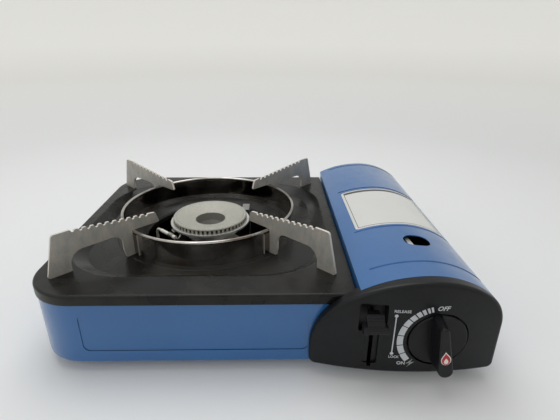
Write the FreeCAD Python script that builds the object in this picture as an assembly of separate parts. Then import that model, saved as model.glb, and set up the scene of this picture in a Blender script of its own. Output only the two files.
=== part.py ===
import FreeCAD, Part
import math
import os

V = FreeCAD.Vector

# Portable butane cassette stove. Millimetres, +Z up, +X towards the gas side, +Y to the back.
# The origin is on the table under the middle of the stove's whole depth and width.

# Whole body
plate_width = 239.0         # top plate, left side to the seam beside the lid
side_room = 15.0            # igniter to the right side of the lid
body_depth = 256.0          # front to back of the top plate
body_height = 60.6          # tray floor to the rim of the top plate
foot_lift = 8.0             # tray floor above the table
sheet = 0.9                 # painted and enamelled sheet steel
seam_gap = 0.5              # half of the gap between top plate and lid
fit_gap = 0.3               # between pieces that are only laid together
running_gap = 0.05          # radial clearance of a shaft in its hole
screw_r = 1.5
screw_head_r = 3.0
screw_head = 1.6
screw_drop = 46.0           # panel's lower screws below the rim
screw_rise = 8.0            # its left screw above them
screw_left = 22.0           # left of the seam
screw_middle = 16.0         # right of the seam
screw_right = 20.0          # from the right side

# Lower tray
tray_inset = 1.2            # tray wall inside the side of the top plate
tray_bend_r = 3.5
tray_right_corner_r = 10.0
partition_foot = 8.0        # flange of the partition on the tray floor
emboss_left = 41.0          # embossed field on the front wall, from the left side of the plate
emboss_right = 205.5
emboss_top = 16.4           # below the rim
emboss_bottom = 48.8
emboss_depth = 0.5
vent_count = 6
vent_pitch = 26.0
vent_length = 16.0
vent_height = 4.0
floor_slot_places = (82.0, 138.0, 188.0)

# Top plate
corner_r = 37.0
skirt_height = 8.0
plate_edge_r = 1.8
recess_edge_r = 3.0
recess_depth = 6.5
recess_front_margin = 25.0
recess_side_margin = 10.0
recess_corner_r = 58.0
recess_slope = 12.0         # width of the sloping side of the recess
seat_r = 85.0               # raised round seat that the trivet's ring stands on
seat_height = 0.8
well_outer_r = 72.0
well_r = 60.0
well_slope_drop = 4.0
well_lip = 5.5

# Trivet
ring_outer_r = 79.5
ring_wall = 1.0
ring_rise = 16.3            # top of the ring above the rim of the plate
ring_roll_r = 1.5
arm_sheet = 2.0
arm_tip_reach = 55.0        # distances along an arm from the burner axis
arm_leg_width = 8.9
arm_foot_width = 17.7
arm_foot_margin = 19.8      # foot of an arm to the plate's corner, were it square
arm_shoulder_lean = 8.2     # top of an arm's outer end inside its foot
arm_outer_height = 33.0     # heights above the rim of the plate
arm_tip_height = 25.5
arch_height = 15.7
arch_r = 10.5
tooth_pitch = 5.95
tooth_count = 11
tooth_width = 2.5
tooth_gap = 1.3
tooth_depth = 1.9
arm_turns = (225.5, 316.2, 138.5, 44.5)     # degrees from +X, as the welded arms stand
tab_width = 5.5
tab_height = 19.0
tab_sheet = 1.2

# Lid over the cartridge, and the outline that it shares with the front panel
lid_sheet = 0.8
lid_rise = 17.5             # top of the lid above the rim of the plate
crown_reach = 53.5          # crest to the right side
crown_r = 70.0
shoulder_r = 29.4
haunch_drop = 41.5          # height of the panel's left springing below the rim
lid_flange_drop = 3.0       # left flange, below the rim of the plate
lid_end_flange = 7.0
lid_groove_depth = 0.4
lid_groove_width = 3.2
lid_groove_inset = 10.0     # left end of a groove, right of the seam
lid_groove_places = (14.5, 74.0, 169.0, 249.0)
label_front = 78.0
label_back = 165.0
label_left = 12.0           # right of the seam
label_right = 88.0
label_recess = 0.35
window_x = 54.0             # right of the seam
window_y = 48.0             # behind the front of the plate
window_width = 20.5
window_depth = 17.5
spring_inset = 3.2          # leaf spring from the left side of the window
spring_width = 3.5
spring_sheet = 0.6
spring_length = 66.0
spring_drop = 3.0
hinge_drop = 31.0
knuckle_r = 2.2
hinge_pin_r = 1.2
knuckle_length = 14.0
hinge_inset = 45.0          # middle of a hinge from the front and back of the body

# Front panel
panel_left = 33.0           # left of the seam
panel_bulge = 14.5          # front of the body to the front of the panel
panel_side_bulge = 3.0
panel_wall = 2.2
panel_rim = 5.0             # width of the band in front of the lid
panel_lift = 2.4            # bottom edge above the tray floor
panel_edge_r = 3.0
panel_corner_r = 5.0
pocket_width = 19.0
pocket_depth = 6.5
pocket_top = 0.0            # below the rim
pocket_bottom = 22.5
channel_width = 10.0
channel_bottom = 50.0
channel_depth = 1.2
slot_width = 2.8
slot_bottom = 53.0

# Control knob
knob_x = 54.7               # right of the seam
knob_drop = 28.0            # below the rim
knob_r = 20.5
knob_disc = 4.5             # thickness of the disc, which sits in a round well in the panel
knob_proud = 0.2            # front of the disc ahead of the panel
well_side_gap = 1.2         # round the disc
well_floor_gap = 0.6        # behind the disc
knob_grip = 14.3
grip_half_length = 20.6
grip_top_r = 3.0
grip_low_r = 5.0
grip_draft = 0.9            # each side of the grip is this much further out at its base
grip_lean = 9.4
spindle_r = 3.0
cam_r = 9.0

# Cartridge space
cartridge_r = 34.0
cartridge_gap = 4.0
cartridge_x = 49.0          # right of the seam
saddle_width = 60.0
saddle_grip = 8.8           # top of a saddle above the lowest line of the cartridge
saddle_depth = 12.0
saddle_places = (105.0, 205.0)

# Governor
governor_width = 40.0
governor_height = 36.0
governor_depth = 25.0
governor_drop = 8.0
governor_x = 33.0           # left side, right of the seam
bracket_sheet = 1.2
diaphragm_r = 12.5
diaphragm_height = 5.0
socket_r = 9.0
socket_length = 10.0
pipe_r = 2.5
pipe_drop = 41.0
pipe_back = 14.0            # behind the front of the plate
nozzle_r = 4.0
nozzle_length = 8.0
piezo_width = 13.0
piezo_depth = 20.0
piezo_height = 28.0

# Lock lever and cartridge carriage
lever_x = 9.0               # right of the seam
lever_sheet = 2.0
lever_pivot_y = 24.0
lever_pivot_drop = 24.0
lever_sweep = 36.0          # degrees from release to lock
lever_hub_r = 6.0
lever_opening = 3.6         # half width of the opening for the lever in the front wall
lever_bracket_half = 10.0
pivot_pin_r = 2.5
drive_reach = 13.0
drive_pin_r = 1.5
button_width = 17.0
button_neck = 8.0
carriage_sheet = 1.5
carriage_rest_y = 50.0
carriage_half_width = 28.0
fork_r = 18.0
guide_stud_r = 2.0
guide_stud_reach = 18.0     # from the middle of the cartridge
guide_stud_front = 12.0     # ahead of the fork plate at rest
lever_bracket_gap = 5.0     # bracket to the middle of the lever

# Burner
cap_r = 35.0
cap_height = 5.0
cap_rise = 5.3              # top of the cap above the rim of the plate
cap_rim_width = 4.0         # level rim round the dish
cap_dish = 4.6              # fall of the dish from the rim to the hole
cap_hole_r = 14.2
cap_hole_depth = 11.0       # below the edge of the hole
cap_wall = 1.6
flame_slot_count = 54
flame_slot_width = 1.9
cap_skirt = 4.0
bowl_lip = 2.5              # edge of the bowl outside the cap
bowl_wall = 1.6
cup_r = 20.0
cup_bottom = 47.0           # below the rim
tube_r = 11.0
tube_wall = 1.5
tube_drop = 27.0
jet_room = 9.0              # partition to the bend of the pipe behind the nozzle
jet_gap = 2.0               # mouth of the tube to the nozzle
tube_angle = -38.5          # degrees from +X, towards the governor
horn_length = 62.0          # tapering root of the tube
electrode_r = 1.7
electrode_tip_r = 0.7
electrode_out = 8.0         # outer end of the electrode from the side of the bowl
electrode_drop = 7.0
lead_r = 1.25
lead_drop = 51.0
lead_back = 6.5
burner_foot = 26.0          # middle of the burner to a leg of its bracket
burner_foot_length = 12.0
burner_bracket_width = 14.0
heat_sheet = 0.8
heat_width = 16.0
heat_lip = 7.0

# Feet
foot_r = 8.0
foot_inset = 34.0

# Places worked out from the sizes above
lid_width = governor_x + governor_width + piezo_width + side_room
overall_width = plate_width + lid_width
knob_reach = panel_bulge + knob_proud + knob_grip
left_x = -overall_width / 2
right_x = overall_width / 2
seam_x = left_x + plate_width
front_y = (knob_reach - body_depth) / 2
back_y = front_y + body_depth
floor_z = foot_lift
rim_z = floor_z + body_height
inner_floor_z = floor_z + sheet

ring_x = left_x + plate_width / 2
ring_y = front_y + body_depth / 2
recess_z = rim_z - recess_depth
ring_side = ring_outer_r + ring_roll_r - ring_wall / 2 + 0.1
arm_leg_reach = ring_side + arm_leg_width
arm_foot_reach = min(plate_width, body_depth) / 2 * math.sqrt(2) - arm_foot_margin
arm_foot_inner_reach = arm_foot_reach - arm_foot_width
arm_shoulder_reach = arm_foot_reach - arm_shoulder_lean
plate_right_x = seam_x - seam_gap
lid_left_x = seam_x + seam_gap

crown_x = right_x - crown_reach
apex_z = rim_z + lid_rise
haunch_z = rim_z - haunch_drop
panel_left_x = seam_x - panel_left
haunch_a = crown_x - panel_left_x
haunch_b = apex_z - haunch_z
shoulder_sin = (crown_reach - shoulder_r) / (crown_r - shoulder_r)

hinge_x = right_x - knuckle_r
hinge_z = rim_z - hinge_drop
tray_left_x = left_x + tray_inset
tray_right_x = hinge_x - knuckle_r - 0.2
tray_front_y = front_y + tray_inset
tray_back_y = back_y - tray_inset
wall_front_y = tray_front_y + sheet
wall_back_y = tray_back_y - sheet
lid_front_y = front_y - panel_rim + 0.4
partition_right_x = plate_right_x - sheet - fit_gap
partition_left_x = partition_right_x - sheet

control_x = seam_x + knob_x
control_z = rim_z - knob_drop
panel_front_y = front_y - panel_bulge
knob_front_y = panel_front_y - knob_proud
knob_back_y = knob_front_y + knob_disc
lever_mid_x = seam_x + lever_x
pivot_y = front_y + lever_pivot_y
pivot_z = rim_z - lever_pivot_drop
gas_x = seam_x + cartridge_x
gas_z = apex_z - lid_sheet - cartridge_gap - cartridge_r
governor_left_x = seam_x + governor_x
governor_front_y = wall_front_y + bracket_sheet
governor_back_y = governor_front_y + governor_depth
governor_top_z = rim_z - governor_drop
governor_low_z = governor_top_z - governor_height
tube_dir = V(math.cos(math.radians(tube_angle)), math.sin(math.radians(tube_angle)), 0)
tube_z = rim_z - tube_drop
pipe_run = 12.0
tube_length = ((partition_left_x - jet_room - ring_x) / tube_dir.x
               - pipe_run - nozzle_length - jet_gap)
bowl_r = cap_r + bowl_lip
cap_top_z = rim_z + cap_rise
cap_low_z = cap_top_z - cap_height

hinge_places = (front_y + hinge_inset, back_y - hinge_inset)
control_depth = governor_front_y + 12
pipe_y = front_y + pipe_back
pipe_z = rim_z - pipe_drop
lead_y = front_y + lead_back
lead_z = rim_z - lead_drop
piezo_left_x = governor_left_x + governor_width
piezo_y = governor_front_y + 2
piezo_z = governor_top_z - piezo_height
electrode_low = V(ring_x - bowl_r - electrode_out, ring_y - bowl_r * 0.28, rim_z - electrode_drop)
electrode_high = V(ring_x - bowl_r * 0.765, ring_y - bowl_r * 0.747, rim_z - electrode_drop + 1)
heat_riser_x = ring_x + 35.5
heat_front_y = ring_y + 30
heat_back_y = heat_front_y + heat_width
panel_screw_places = ((seam_x - screw_left, rim_z - screw_drop + screw_rise),
                      (seam_x + screw_middle, rim_z - screw_drop),
                      (right_x - screw_right, rim_z - screw_drop))
burner_screw_places = (-burner_foot - burner_foot_length / 2, burner_foot + burner_foot_length / 2)
bracket_screw_places = ((governor_left_x - 8, governor_low_z + 5),
                        (governor_left_x - 8, governor_top_z - 5),
                        (piezo_left_x - 6, governor_low_z - screw_head_r - fit_gap))


# Wires and basic solids

def rounded_wire(points):
    """Closed wire through (point, radius) corners, with each corner rounded by a tangent arc."""
    edges = []
    starts = []
    count = len(points)
    for i in range(count):
        before, (corner, radius), after = points[i - 1][0], points[i], points[(i + 1) % count][0]
        if radius <= 0:
            starts.append((corner, corner, corner))
            continue
        to_before = (before - corner).normalize()
        to_after = (after - corner).normalize()
        half = to_before.getAngle(to_after) / 2
        reach = radius / math.tan(half)
        bisector = (to_before + to_after).normalize()
        centre = corner + bisector * (radius / math.sin(half))
        starts.append((corner + to_before * reach, centre - bisector * radius,
                       corner + to_after * reach))
    for i in range(count):
        first, middle, last = starts[i]
        if first.distanceToPoint(last) > 1e-6:
            edges.append(Part.Arc(first, middle, last).toShape())
        following = starts[(i + 1) % count][0]
        if last.distanceToPoint(following) > 1e-6:
            edges.append(Part.LineSegment(last, following).toShape())
    return Part.Wire(edges)


def rect_wire(x0, y0, x1, y1, z, radii):
    """Rectangle on a level plane; radii run front left, front right, back right, back left."""
    corners = (V(x0, y0, z), V(x1, y0, z), V(x1, y1, z), V(x0, y1, z))
    return rounded_wire(list(zip(corners, radii)))


def rect_prism(x0, y0, x1, y1, z0, z1, radii):
    return Part.Face(rect_wire(x0, y0, x1, y1, z0, radii)).extrude(V(0, 0, z1 - z0))


def block(x0, y0, z0, x1, y1, z1):
    return Part.makeBox(x1 - x0, y1 - y0, z1 - z0, V(x0, y0, z0))


def rod(radius, start, end):
    return Part.makeCylinder(radius, start.distanceToPoint(end), start, end - start)


def tube(outer, inner, start, end):
    return rod(outer, start, end).cut(rod(inner, start, end))


def turned(profile, centre):
    """Solid of revolution about the vertical through centre, from (radius, height) corners."""
    points = [V(centre.x + r, centre.y, z) for r, z in profile]
    face = Part.Face(Part.makePolygon(points + points[:1]))
    return face.revolve(centre, V(0, 0, 1), 360)


def turned_along(profile, origin, direction):
    """Solid of revolution about a slanting axis, from (radius, distance along it) corners."""
    solid = turned(profile, V(0, 0, 0))
    solid.Placement = FreeCAD.Placement(origin, FreeCAD.Rotation(V(0, 0, 1), direction))
    return solid


def side_prism(points, x0, x1):
    """Prism along X from ((y, z), radius) corners."""
    wire = rounded_wire([(V(x0, y, z), r) for (y, z), r in points])
    return Part.Face(wire).extrude(V(x1 - x0, 0, 0))


def front_prism(points, y0, y1):
    """Prism along Y from ((x, z), radius) corners."""
    wire = rounded_wire([(V(x, y0, z), r) for (x, z), r in points])
    return Part.Face(wire).extrude(V(0, y1 - y0, 0))


def level_edges(shape, z):
    return [e for e in shape.Edges if all(abs(v.Z - z) < 1e-4 for v in e.Vertexes)]


def bent_rod(points, bends, radius):
    """Round bar along straight runs joined by tangent arcs."""
    edges = []
    last = points[0]
    for i in range(1, len(points) - 1):
        corner = points[i]
        bend_r = bends[i - 1]
        to_before = (points[i - 1] - corner).normalize()
        to_after = (points[i + 1] - corner).normalize()
        half = to_before.getAngle(to_after) / 2
        reach = bend_r / math.tan(half)
        bisector = (to_before + to_after).normalize()
        middle = corner + bisector * (bend_r / math.sin(half) - bend_r)
        edges.append(Part.LineSegment(last, corner + to_before * reach).toShape())
        edges.append(Part.Arc(corner + to_before * reach, middle,
                              corner + to_after * reach).toShape())
        last = corner + to_after * reach
    edges.append(Part.LineSegment(last, points[-1]).toShape())
    path = Part.Wire(edges)
    ring = Part.Wire(Part.makeCircle(radius, points[0], points[1] - points[0]))
    return path.makePipeShell([ring], True, True)


# Outline shared by the lid, the panel and the end walls of the cartridge space

def arch_face(inset, left, bottom):
    """Quarter ellipse on the left, then the crown, the shoulder and a plumb right side."""
    base = V(crown_x, 0, haunch_z)
    a = haunch_a - inset
    ellipse = Part.Ellipse(base - V(a, 0, 0), base + V(0, 0, haunch_b - inset), base)
    start = math.acos(min(1.0, (crown_x - left) / a))
    haunch = Part.ArcOfEllipse(ellipse, start, math.pi / 2).toShape()
    crown_c = V(crown_x, 0, apex_z - crown_r)
    turn = math.asin(shoulder_sin)
    shoulder_c = crown_c + slant(turn) * (crown_r - shoulder_r)
    top_r = crown_r - inset
    side_r = shoulder_r - inset
    crest = crown_c + slant(0) * top_r
    crown_end = crown_c + slant(turn) * top_r
    side_top = shoulder_c + V(side_r, 0, 0)
    low_right = V(side_top.x, 0, bottom)
    low_left = V(left, 0, bottom)
    edges = [haunch,
             Part.Arc(crest, crown_c + slant(turn / 2) * top_r, crown_end).toShape(),
             Part.Arc(crown_end, shoulder_c + slant((turn + math.pi / 2) / 2) * side_r,
                      side_top).toShape(),
             Part.LineSegment(side_top, low_right).toShape(),
             Part.LineSegment(low_right, low_left).toShape(),
             Part.LineSegment(low_left, haunch.valueAt(haunch.FirstParameter)).toShape()]
    return Part.Face(Part.Wire(edges))


def slant(angle):
    """Unit vector in the front view, turned from straight up towards the right."""
    return V(math.sin(angle), 0, math.cos(angle))


def arch_prism(inset, y0, y1, left, bottom):
    solid = arch_face(inset, left, bottom).extrude(V(0, y1 - y0, 0))
    solid.translate(V(0, y0, 0))
    return solid


# Lower tray and what is fixed in it

def slot_cutter(x, z, length, height, y0, y1):
    half = length / 2
    rise = height / 2
    corners = [(x - half, z - rise), (x + half, z - rise), (x + half, z + rise), (x - half, z + rise)]
    return front_prism([(corner, rise * 0.98) for corner in corners], y0, y1)


def body_tray():
    top = apex_z + 1
    left_r = corner_r - tray_inset
    radii = (left_r, tray_right_corner_r, tray_right_corner_r, left_r)
    outer = rect_prism(tray_left_x, tray_front_y, tray_right_x, tray_back_y, floor_z, top, radii)
    outer = outer.makeFillet(tray_bend_r, level_edges(outer, floor_z))
    inner = rect_prism(tray_left_x + sheet, wall_front_y, tray_right_x - sheet, wall_back_y,
                       inner_floor_z, top + 1, [r - sheet for r in radii])
    inner = inner.makeFillet(tray_bend_r - sheet, level_edges(inner, inner_floor_z))
    field = [((left_x + x, rim_z - z), 5.0) for x, z in (
        (emboss_left, emboss_bottom), (emboss_right, emboss_bottom),
        (emboss_right, emboss_top), (emboss_left, emboss_top))]
    outer = outer.cut(front_prism(field, tray_front_y - 1, tray_front_y + emboss_depth))
    inner = inner.cut(front_prism(field, wall_front_y - 1, wall_front_y + emboss_depth))
    walls = outer.cut(inner)

    under_plate = block(left_x, front_y, 0, seam_x, back_y, rim_z - sheet)
    under_lid = arch_prism(lid_sheet + 2 * fit_gap, front_y, back_y, seam_x - seam_gap, 0)
    walls = walls.common(under_plate.fuse(under_lid))
    cuts = [block(partition_right_x, front_y, rim_z - skirt_height - fit_gap,
                  seam_x + seam_gap + lid_sheet + fit_gap, back_y, apex_z),
            block(tray_right_x - 2 * sheet, front_y + 12, hinge_z + 11,
                  right_x, back_y - 12, apex_z),
            rod(spindle_r + 5, V(control_x, tray_front_y - 1, control_z),
                V(control_x, wall_front_y + 1, control_z)),
            block(lever_mid_x - lever_opening, tray_front_y - 1, pivot_z - 15,
                  lever_mid_x + lever_opening, wall_front_y + 1, pivot_z + 15)]
    for i in range(vent_count):
        x = ring_x + (i - (vent_count - 1) / 2) * vent_pitch
        cuts.append(slot_cutter(x, rim_z - 24, vent_length, vent_height,
                                wall_back_y - 1, tray_back_y + 1))
    for place in floor_slot_places:
        y = front_y + place
        cuts.append(rect_prism(gas_x - 2.5, y - 10, gas_x + 2.5, y + 10, floor_z - 1,
                               inner_floor_z + 1, (2.4,) * 4))
    for x, z in panel_screw_places + bracket_screw_places:
        cuts.append(rod(screw_r + running_gap, V(x, tray_front_y - 1, z), V(x, wall_front_y + 1, z)))
    walls = walls.cut(Part.makeCompound(cuts))

    for middle in hinge_places:
        for side in (-1, 1):
            y0 = middle + side * (knuckle_length / 2 + fit_gap)
            y1 = y0 + side * knuckle_length * 0.7
            low, high = min(y0, y1), max(y0, y1)
            eye = rod(knuckle_r, V(hinge_x, low, hinge_z), V(hinge_x, high, hinge_z))
            leaf = block(tray_right_x - 0.5 * sheet, low, hinge_z - knuckle_r,
                         hinge_x, high, hinge_z)
            walls = walls.fuse(eye.fuse(leaf))
        walls = walls.cut(rod(hinge_pin_r + running_gap, V(hinge_x, middle - 30, hinge_z),
                              V(hinge_x, middle + 30, hinge_z)))
    return walls.removeSplitter()


def partition_wall():
    foot_x = partition_left_x - partition_foot
    wall = block(partition_left_x, wall_front_y, inner_floor_z,
                 partition_right_x, wall_back_y, rim_z - sheet)
    foot = block(foot_x, wall_front_y + tray_bend_r, inner_floor_z,
                 partition_right_x, wall_back_y - tray_bend_r, inner_floor_z + sheet)
    corner = tray_bend_r + 0.5
    cuts = [rod(pipe_r + 1, V(foot_x - 1, pipe_y, pipe_z), V(seam_x, pipe_y, pipe_z)),
            rod(lead_r + 1.5, V(foot_x - 1, lead_y, lead_z), V(seam_x, lead_y, lead_z)),
            block(foot_x - 1, heat_front_y - 1, inner_floor_z - 1,
                  seam_x, heat_back_y + 1, inner_floor_z + heat_sheet + 1)]
    for y in (wall_front_y, wall_back_y - corner):
        cuts.append(block(foot_x - 1, y - 0.01, inner_floor_z - 1,
                          seam_x, y + corner + 0.01, inner_floor_z + corner))
    return wall.fuse(foot).cut(Part.makeCompound(cuts)).removeSplitter()


def rubber_foot(x, y):
    profile = [(0, 0), (foot_r - 1.5, 0), (foot_r - 1, 0.6), (foot_r, floor_z), (0, floor_z)]
    return turned(profile, V(x, y, 0))


def cartridge_saddle(place):
    y = front_y + place
    half = saddle_width / 2
    base = inner_floor_z
    top = gas_z - cartridge_r + saddle_grip
    blank = front_prism([((gas_x - half, base), 0), ((gas_x + half, base), 0),
                         ((gas_x + half, top), 2), ((gas_x - half, top), 2)], y, y + saddle_depth)
    drum = rod(cartridge_r + fit_gap, V(gas_x, y - 1, gas_z), V(gas_x, y + saddle_depth + 1, gas_z))
    return blank.cut(drum)


def heat_plate():
    low = inner_floor_z
    top = rim_z - 3
    t = heat_sheet
    far_x = gas_x + cartridge_r - 6
    return front_prism([((far_x, low), 0), ((heat_riser_x, low), 1 + t),
                        ((heat_riser_x, top - t), 0.5), ((heat_riser_x - heat_lip, top - t), 0),
                        ((heat_riser_x - heat_lip, top), 0), ((heat_riser_x + t, top), 0.5 + t),
                        ((heat_riser_x + t, low + t), 1), ((far_x, low + t), 0)],
                       heat_front_y, heat_back_y)


# Top plate

def recess_tub():
    """Space pressed into the top plate, with sloping sides."""
    x0 = left_x + recess_side_margin
    x1 = plate_right_x - recess_side_margin + seam_gap
    y0 = front_y + recess_front_margin
    y1 = back_y - recess_front_margin
    slope = recess_slope
    top = rect_wire(x0, y0, x1, y1, rim_z, (recess_corner_r,) * 4)
    low = rect_wire(x0 + slope, y0 + slope, x1 - slope, y1 - slope, recess_z,
                    (recess_corner_r - slope,) * 4)
    return Part.makeLoft([top, low], True, True)


def top_plate():
    radii = (corner_r, 0, 0, corner_r)
    low_z = rim_z - skirt_height
    outer = rect_prism(left_x, front_y, plate_right_x, back_y, low_z, rim_z, radii)
    outer = outer.makeFillet(plate_edge_r, left_edges(outer, rim_z))
    inner = rect_prism(left_x + sheet, front_y + sheet, plate_right_x - sheet, back_y - sheet,
                       low_z - 1, rim_z - sheet, [max(r - sheet, 0) for r in radii])
    tub = recess_tub()
    under = tub.copy()
    under.translate(V(0, 0, -sheet))
    plate = outer.cut(inner).fuse(under).cut(tub).removeSplitter()
    recess_edges = [e for e in level_edges(plate, rim_z)
                    if all(left_x + 5 < v.X < plate_right_x - 5 and
                           front_y + 5 < v.Y < back_y - 5 for v in e.Vertexes)]
    plate = plate.makeFillet(recess_edge_r, recess_edges)
    seat_z = recess_z + seat_height
    lip_z = seat_z - well_slope_drop
    hole_z = lip_z - well_lip
    rim = [(seat_r + seat_height, recess_z), (seat_r, seat_z), (well_outer_r, seat_z),
           (well_r + 1.5, lip_z), (well_r, lip_z - 1.5), (well_r, hole_z),
           (well_r + sheet, hole_z), (well_r + sheet, lip_z - 1.5 - 0.4 * sheet),
           (well_r + 1.5 + 0.4 * sheet, lip_z - sheet), (well_outer_r, seat_z - sheet),
           (seat_r, seat_z - sheet), (seat_r + seat_height, recess_z - sheet)]
    axis = V(ring_x, ring_y, 0)
    hole = Part.makeCylinder(seat_r + seat_height, 2 * recess_depth, V(ring_x, ring_y, hole_z))
    return plate.cut(hole).fuse(turned(rim, axis)).removeSplitter()


def left_edges(shape, z):
    """Level edges at a height, without the one along the seam."""
    return [e for e in level_edges(shape, z)
            if min(v.X for v in e.Vertexes) < plate_right_x - 0.01]


# Trivet

def trivet_ring():
    top = rim_z + ring_rise
    base = recess_z + seat_height
    roll_z = top - ring_roll_r
    axis = V(ring_x, ring_y, 0)
    wall = turned([(ring_outer_r - ring_wall, base), (ring_outer_r, base),
                   (ring_outer_r, roll_z), (ring_outer_r - ring_wall, roll_z)], axis)
    roll = Part.makeTorus(ring_outer_r - ring_wall / 2, ring_roll_r, V(ring_x, ring_y, roll_z))
    return wall.fuse(roll)


def tooth_row(start, end, start_height, end_height):
    """Corners of a row of rounded teeth that falls from the outer end of an arm to its tip."""
    fall = (start_height - end_height) / (start - end)
    half_gap = tooth_gap / 2
    half_open = (tooth_pitch - tooth_width) / 2
    corners = []
    for i in range(tooth_count):
        middle = start - (i + 0.5) * tooth_pitch
        for reach, depth, radius in ((half_open, 0, 0.85), (half_gap, tooth_depth, 0.55),
                                     (-half_gap, tooth_depth, 0.55), (-half_open, 0, 0.85)):
            height = start_height - (start - middle - reach) * fall - depth
            corners.append(((middle + reach, height), radius))
    return corners


def pan_arm(angle, tab_side):
    """Toothed arm of the trivet, standing on the plate's rim and against the ring."""
    base = seat_height - recess_depth
    beam = ring_rise + 0.1
    flat_end = arm_foot_inner_reach - 2.5
    profile = [((arm_foot_reach, 0), 1.5), ((arm_shoulder_reach, arm_outer_height), 2.5),
               ((flat_end, arm_outer_height), 0),
               *tooth_row(flat_end, arm_tip_reach + 3, arm_outer_height, arm_tip_height),
               ((arm_tip_reach + 3, arm_tip_height), 2.2),
               ((arm_tip_reach, beam), 1.0), ((ring_side, beam), 0), ((ring_side, base), 0.5),
               ((arm_leg_reach - 1.5, base), 0.8), ((arm_leg_reach, 1), 3),
               ((arm_leg_reach, arch_height), arch_r - 2), ((arm_foot_inner_reach, arch_height), arch_r),
               ((arm_foot_inner_reach, 0), 0.8)]
    wire = rounded_wire([(V(s, -arm_sheet / 2, h), r) for (s, h), r in profile])
    arm = Part.Face(wire).extrude(V(0, arm_sheet, 0))
    inner_r = ring_outer_r + running_gap
    band = tube(inner_r + tab_sheet, inner_r, V(0, 0, base), V(0, 0, base + tab_height))
    side = tab_side * (tab_width + arm_sheet / 2)
    arm = arm.fuse(band.common(block(0, min(side, 0), base, ring_side + 5, max(side, 0),
                                     base + tab_height)))
    arm.rotate(V(0, 0, 0), V(0, 0, 1), angle)
    arm.translate(V(ring_x, ring_y, rim_z))
    return arm


# Burner

def burner_cap():
    """Dished cap: a level rim with a fine groove, a cone that falls to the hole, and a deep hole."""
    top = cap_top_z
    low = cap_low_z
    rim_r = cap_r - cap_rim_width
    groove_r = rim_r + 1.2
    lip = top - cap_dish
    floor = lip - cap_hole_depth
    wall = cap_wall
    profile = [(0, floor), (cap_hole_r - 4, floor), (cap_hole_r - 1.5, floor + 4), (cap_hole_r, lip),
               (rim_r, top), (groove_r - 0.5, top), (groove_r, top - 0.4), (groove_r + 0.5, top),
               (cap_r - 0.8, top), (cap_r, top - 0.8), (cap_r, low), (cap_r - cap_skirt, low),
               (cap_r - cap_skirt, top - 2.5), (rim_r - 0.5, top - wall - 0.7),
               (cap_hole_r + wall, lip - wall), (cap_hole_r + wall - 1.5, floor + 3.5),
               (cap_hole_r + wall - 4.5, floor - wall), (0, floor - wall)]
    cap = turned(profile, V(ring_x, ring_y, 0))
    cutters = []
    for i in range(flame_slot_count):
        cutter = block(cap_r - cap_skirt - 0.5, -flame_slot_width / 2, low - 1,
                       cap_r + 1, flame_slot_width / 2, top - 1.6)
        cutter.rotate(V(0, 0, 0), V(0, 0, 1), i * 360 / flame_slot_count)
        cutter.translate(V(ring_x, ring_y, 0))
        cutters.append(cutter)
    return cap.cut(Part.makeCompound(cutters))


def burner_body():
    top = cap_low_z
    low = rim_z - cup_bottom
    neck = top - 17
    wall = bowl_wall
    axis = V(ring_x, ring_y, 0)
    skin = turned([(0, low), (cup_r, low), (cup_r, neck), (bowl_r - 3, top - 3), (bowl_r, top - 1.5),
                   (bowl_r, top), (0, top)], axis)
    core = turned([(0, low + wall), (cup_r - wall, low + wall), (cup_r - wall, neck - 0.3),
                   (bowl_r - 3 - wall, top - 2.6), (bowl_r - 5, top + 1), (0, top + 1)], axis)
    root = V(ring_x, ring_y, tube_z)
    bore = tube_r - tube_wall
    flared = tube_length - 12
    skin = skin.fuse(turned_along([(0, 0), (cup_r - 0.05, 0), (tube_r, horn_length), (tube_r, flared),
                                   (tube_r + 3, tube_length), (0, tube_length)], root, tube_dir))
    core = core.fuse(turned_along([(0, 0), (cup_r - tube_wall - 0.3, 0), (bore, horn_length),
                                   (bore, flared), (bore + 3, tube_length),
                                   (bore + 3, tube_length + 1), (0, tube_length + 1)], root, tube_dir))
    return skin.cut(core).removeSplitter()


def burner_bracket():
    top = rim_z - cup_bottom
    low = inner_floor_z
    t = bracket_sheet
    half = burner_foot
    far = half + burner_foot_length
    width = burner_bracket_width
    path = [((-far, low), 0), ((-half, low), 0), ((-half, top - t), 0), ((half, top - t), 0),
            ((half, low), 0), ((far, low), 0), ((far, low + t), 0),
            ((half + t, low + t), 1.0), ((half + t, top), 2.0), ((-half - t, top), 2.0),
            ((-half - t, low + t), 1.0), ((-far, low + t), 0)]
    path = [((ring_x + x, z), r) for (x, z), r in path]
    bracket = front_prism(path, ring_y - width / 2, ring_y + width / 2)
    holes = [rod(screw_r + running_gap, V(ring_x + x, ring_y, low - 1), V(ring_x + x, ring_y, low + 3))
             for x in burner_screw_places]
    return bracket.cut(Part.makeCompound(holes))


def burner_screws():
    t = bracket_sheet
    return Part.makeCompound([
        screw(V(ring_x + x, ring_y, inner_floor_z + t), V(0, 0, -1), t) for x in burner_screw_places])


def screw(seat, direction, length):
    """Round-headed screw whose head lies on seat and whose shaft runs along direction."""
    head = rod(screw_head_r, seat, seat - direction * screw_head)
    shaft = rod(screw_r, seat, seat + direction * length)
    return head.fuse(shaft).removeSplitter()


def electrode_ceramic():
    return rod(electrode_r, electrode_low, electrode_high)


def electrode_tip():
    along = (electrode_high - electrode_low).normalize()
    bend = electrode_high + along * 5
    spark = V(ring_x, ring_y, 0) - bend
    spark.z = 0
    reach = spark.Length - cap_r - 2.5
    end = bend + spark.normalize() * reach + V(0, 0, 3.5)
    return bent_rod([electrode_high, bend, end], [2.0], electrode_tip_r)


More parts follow.
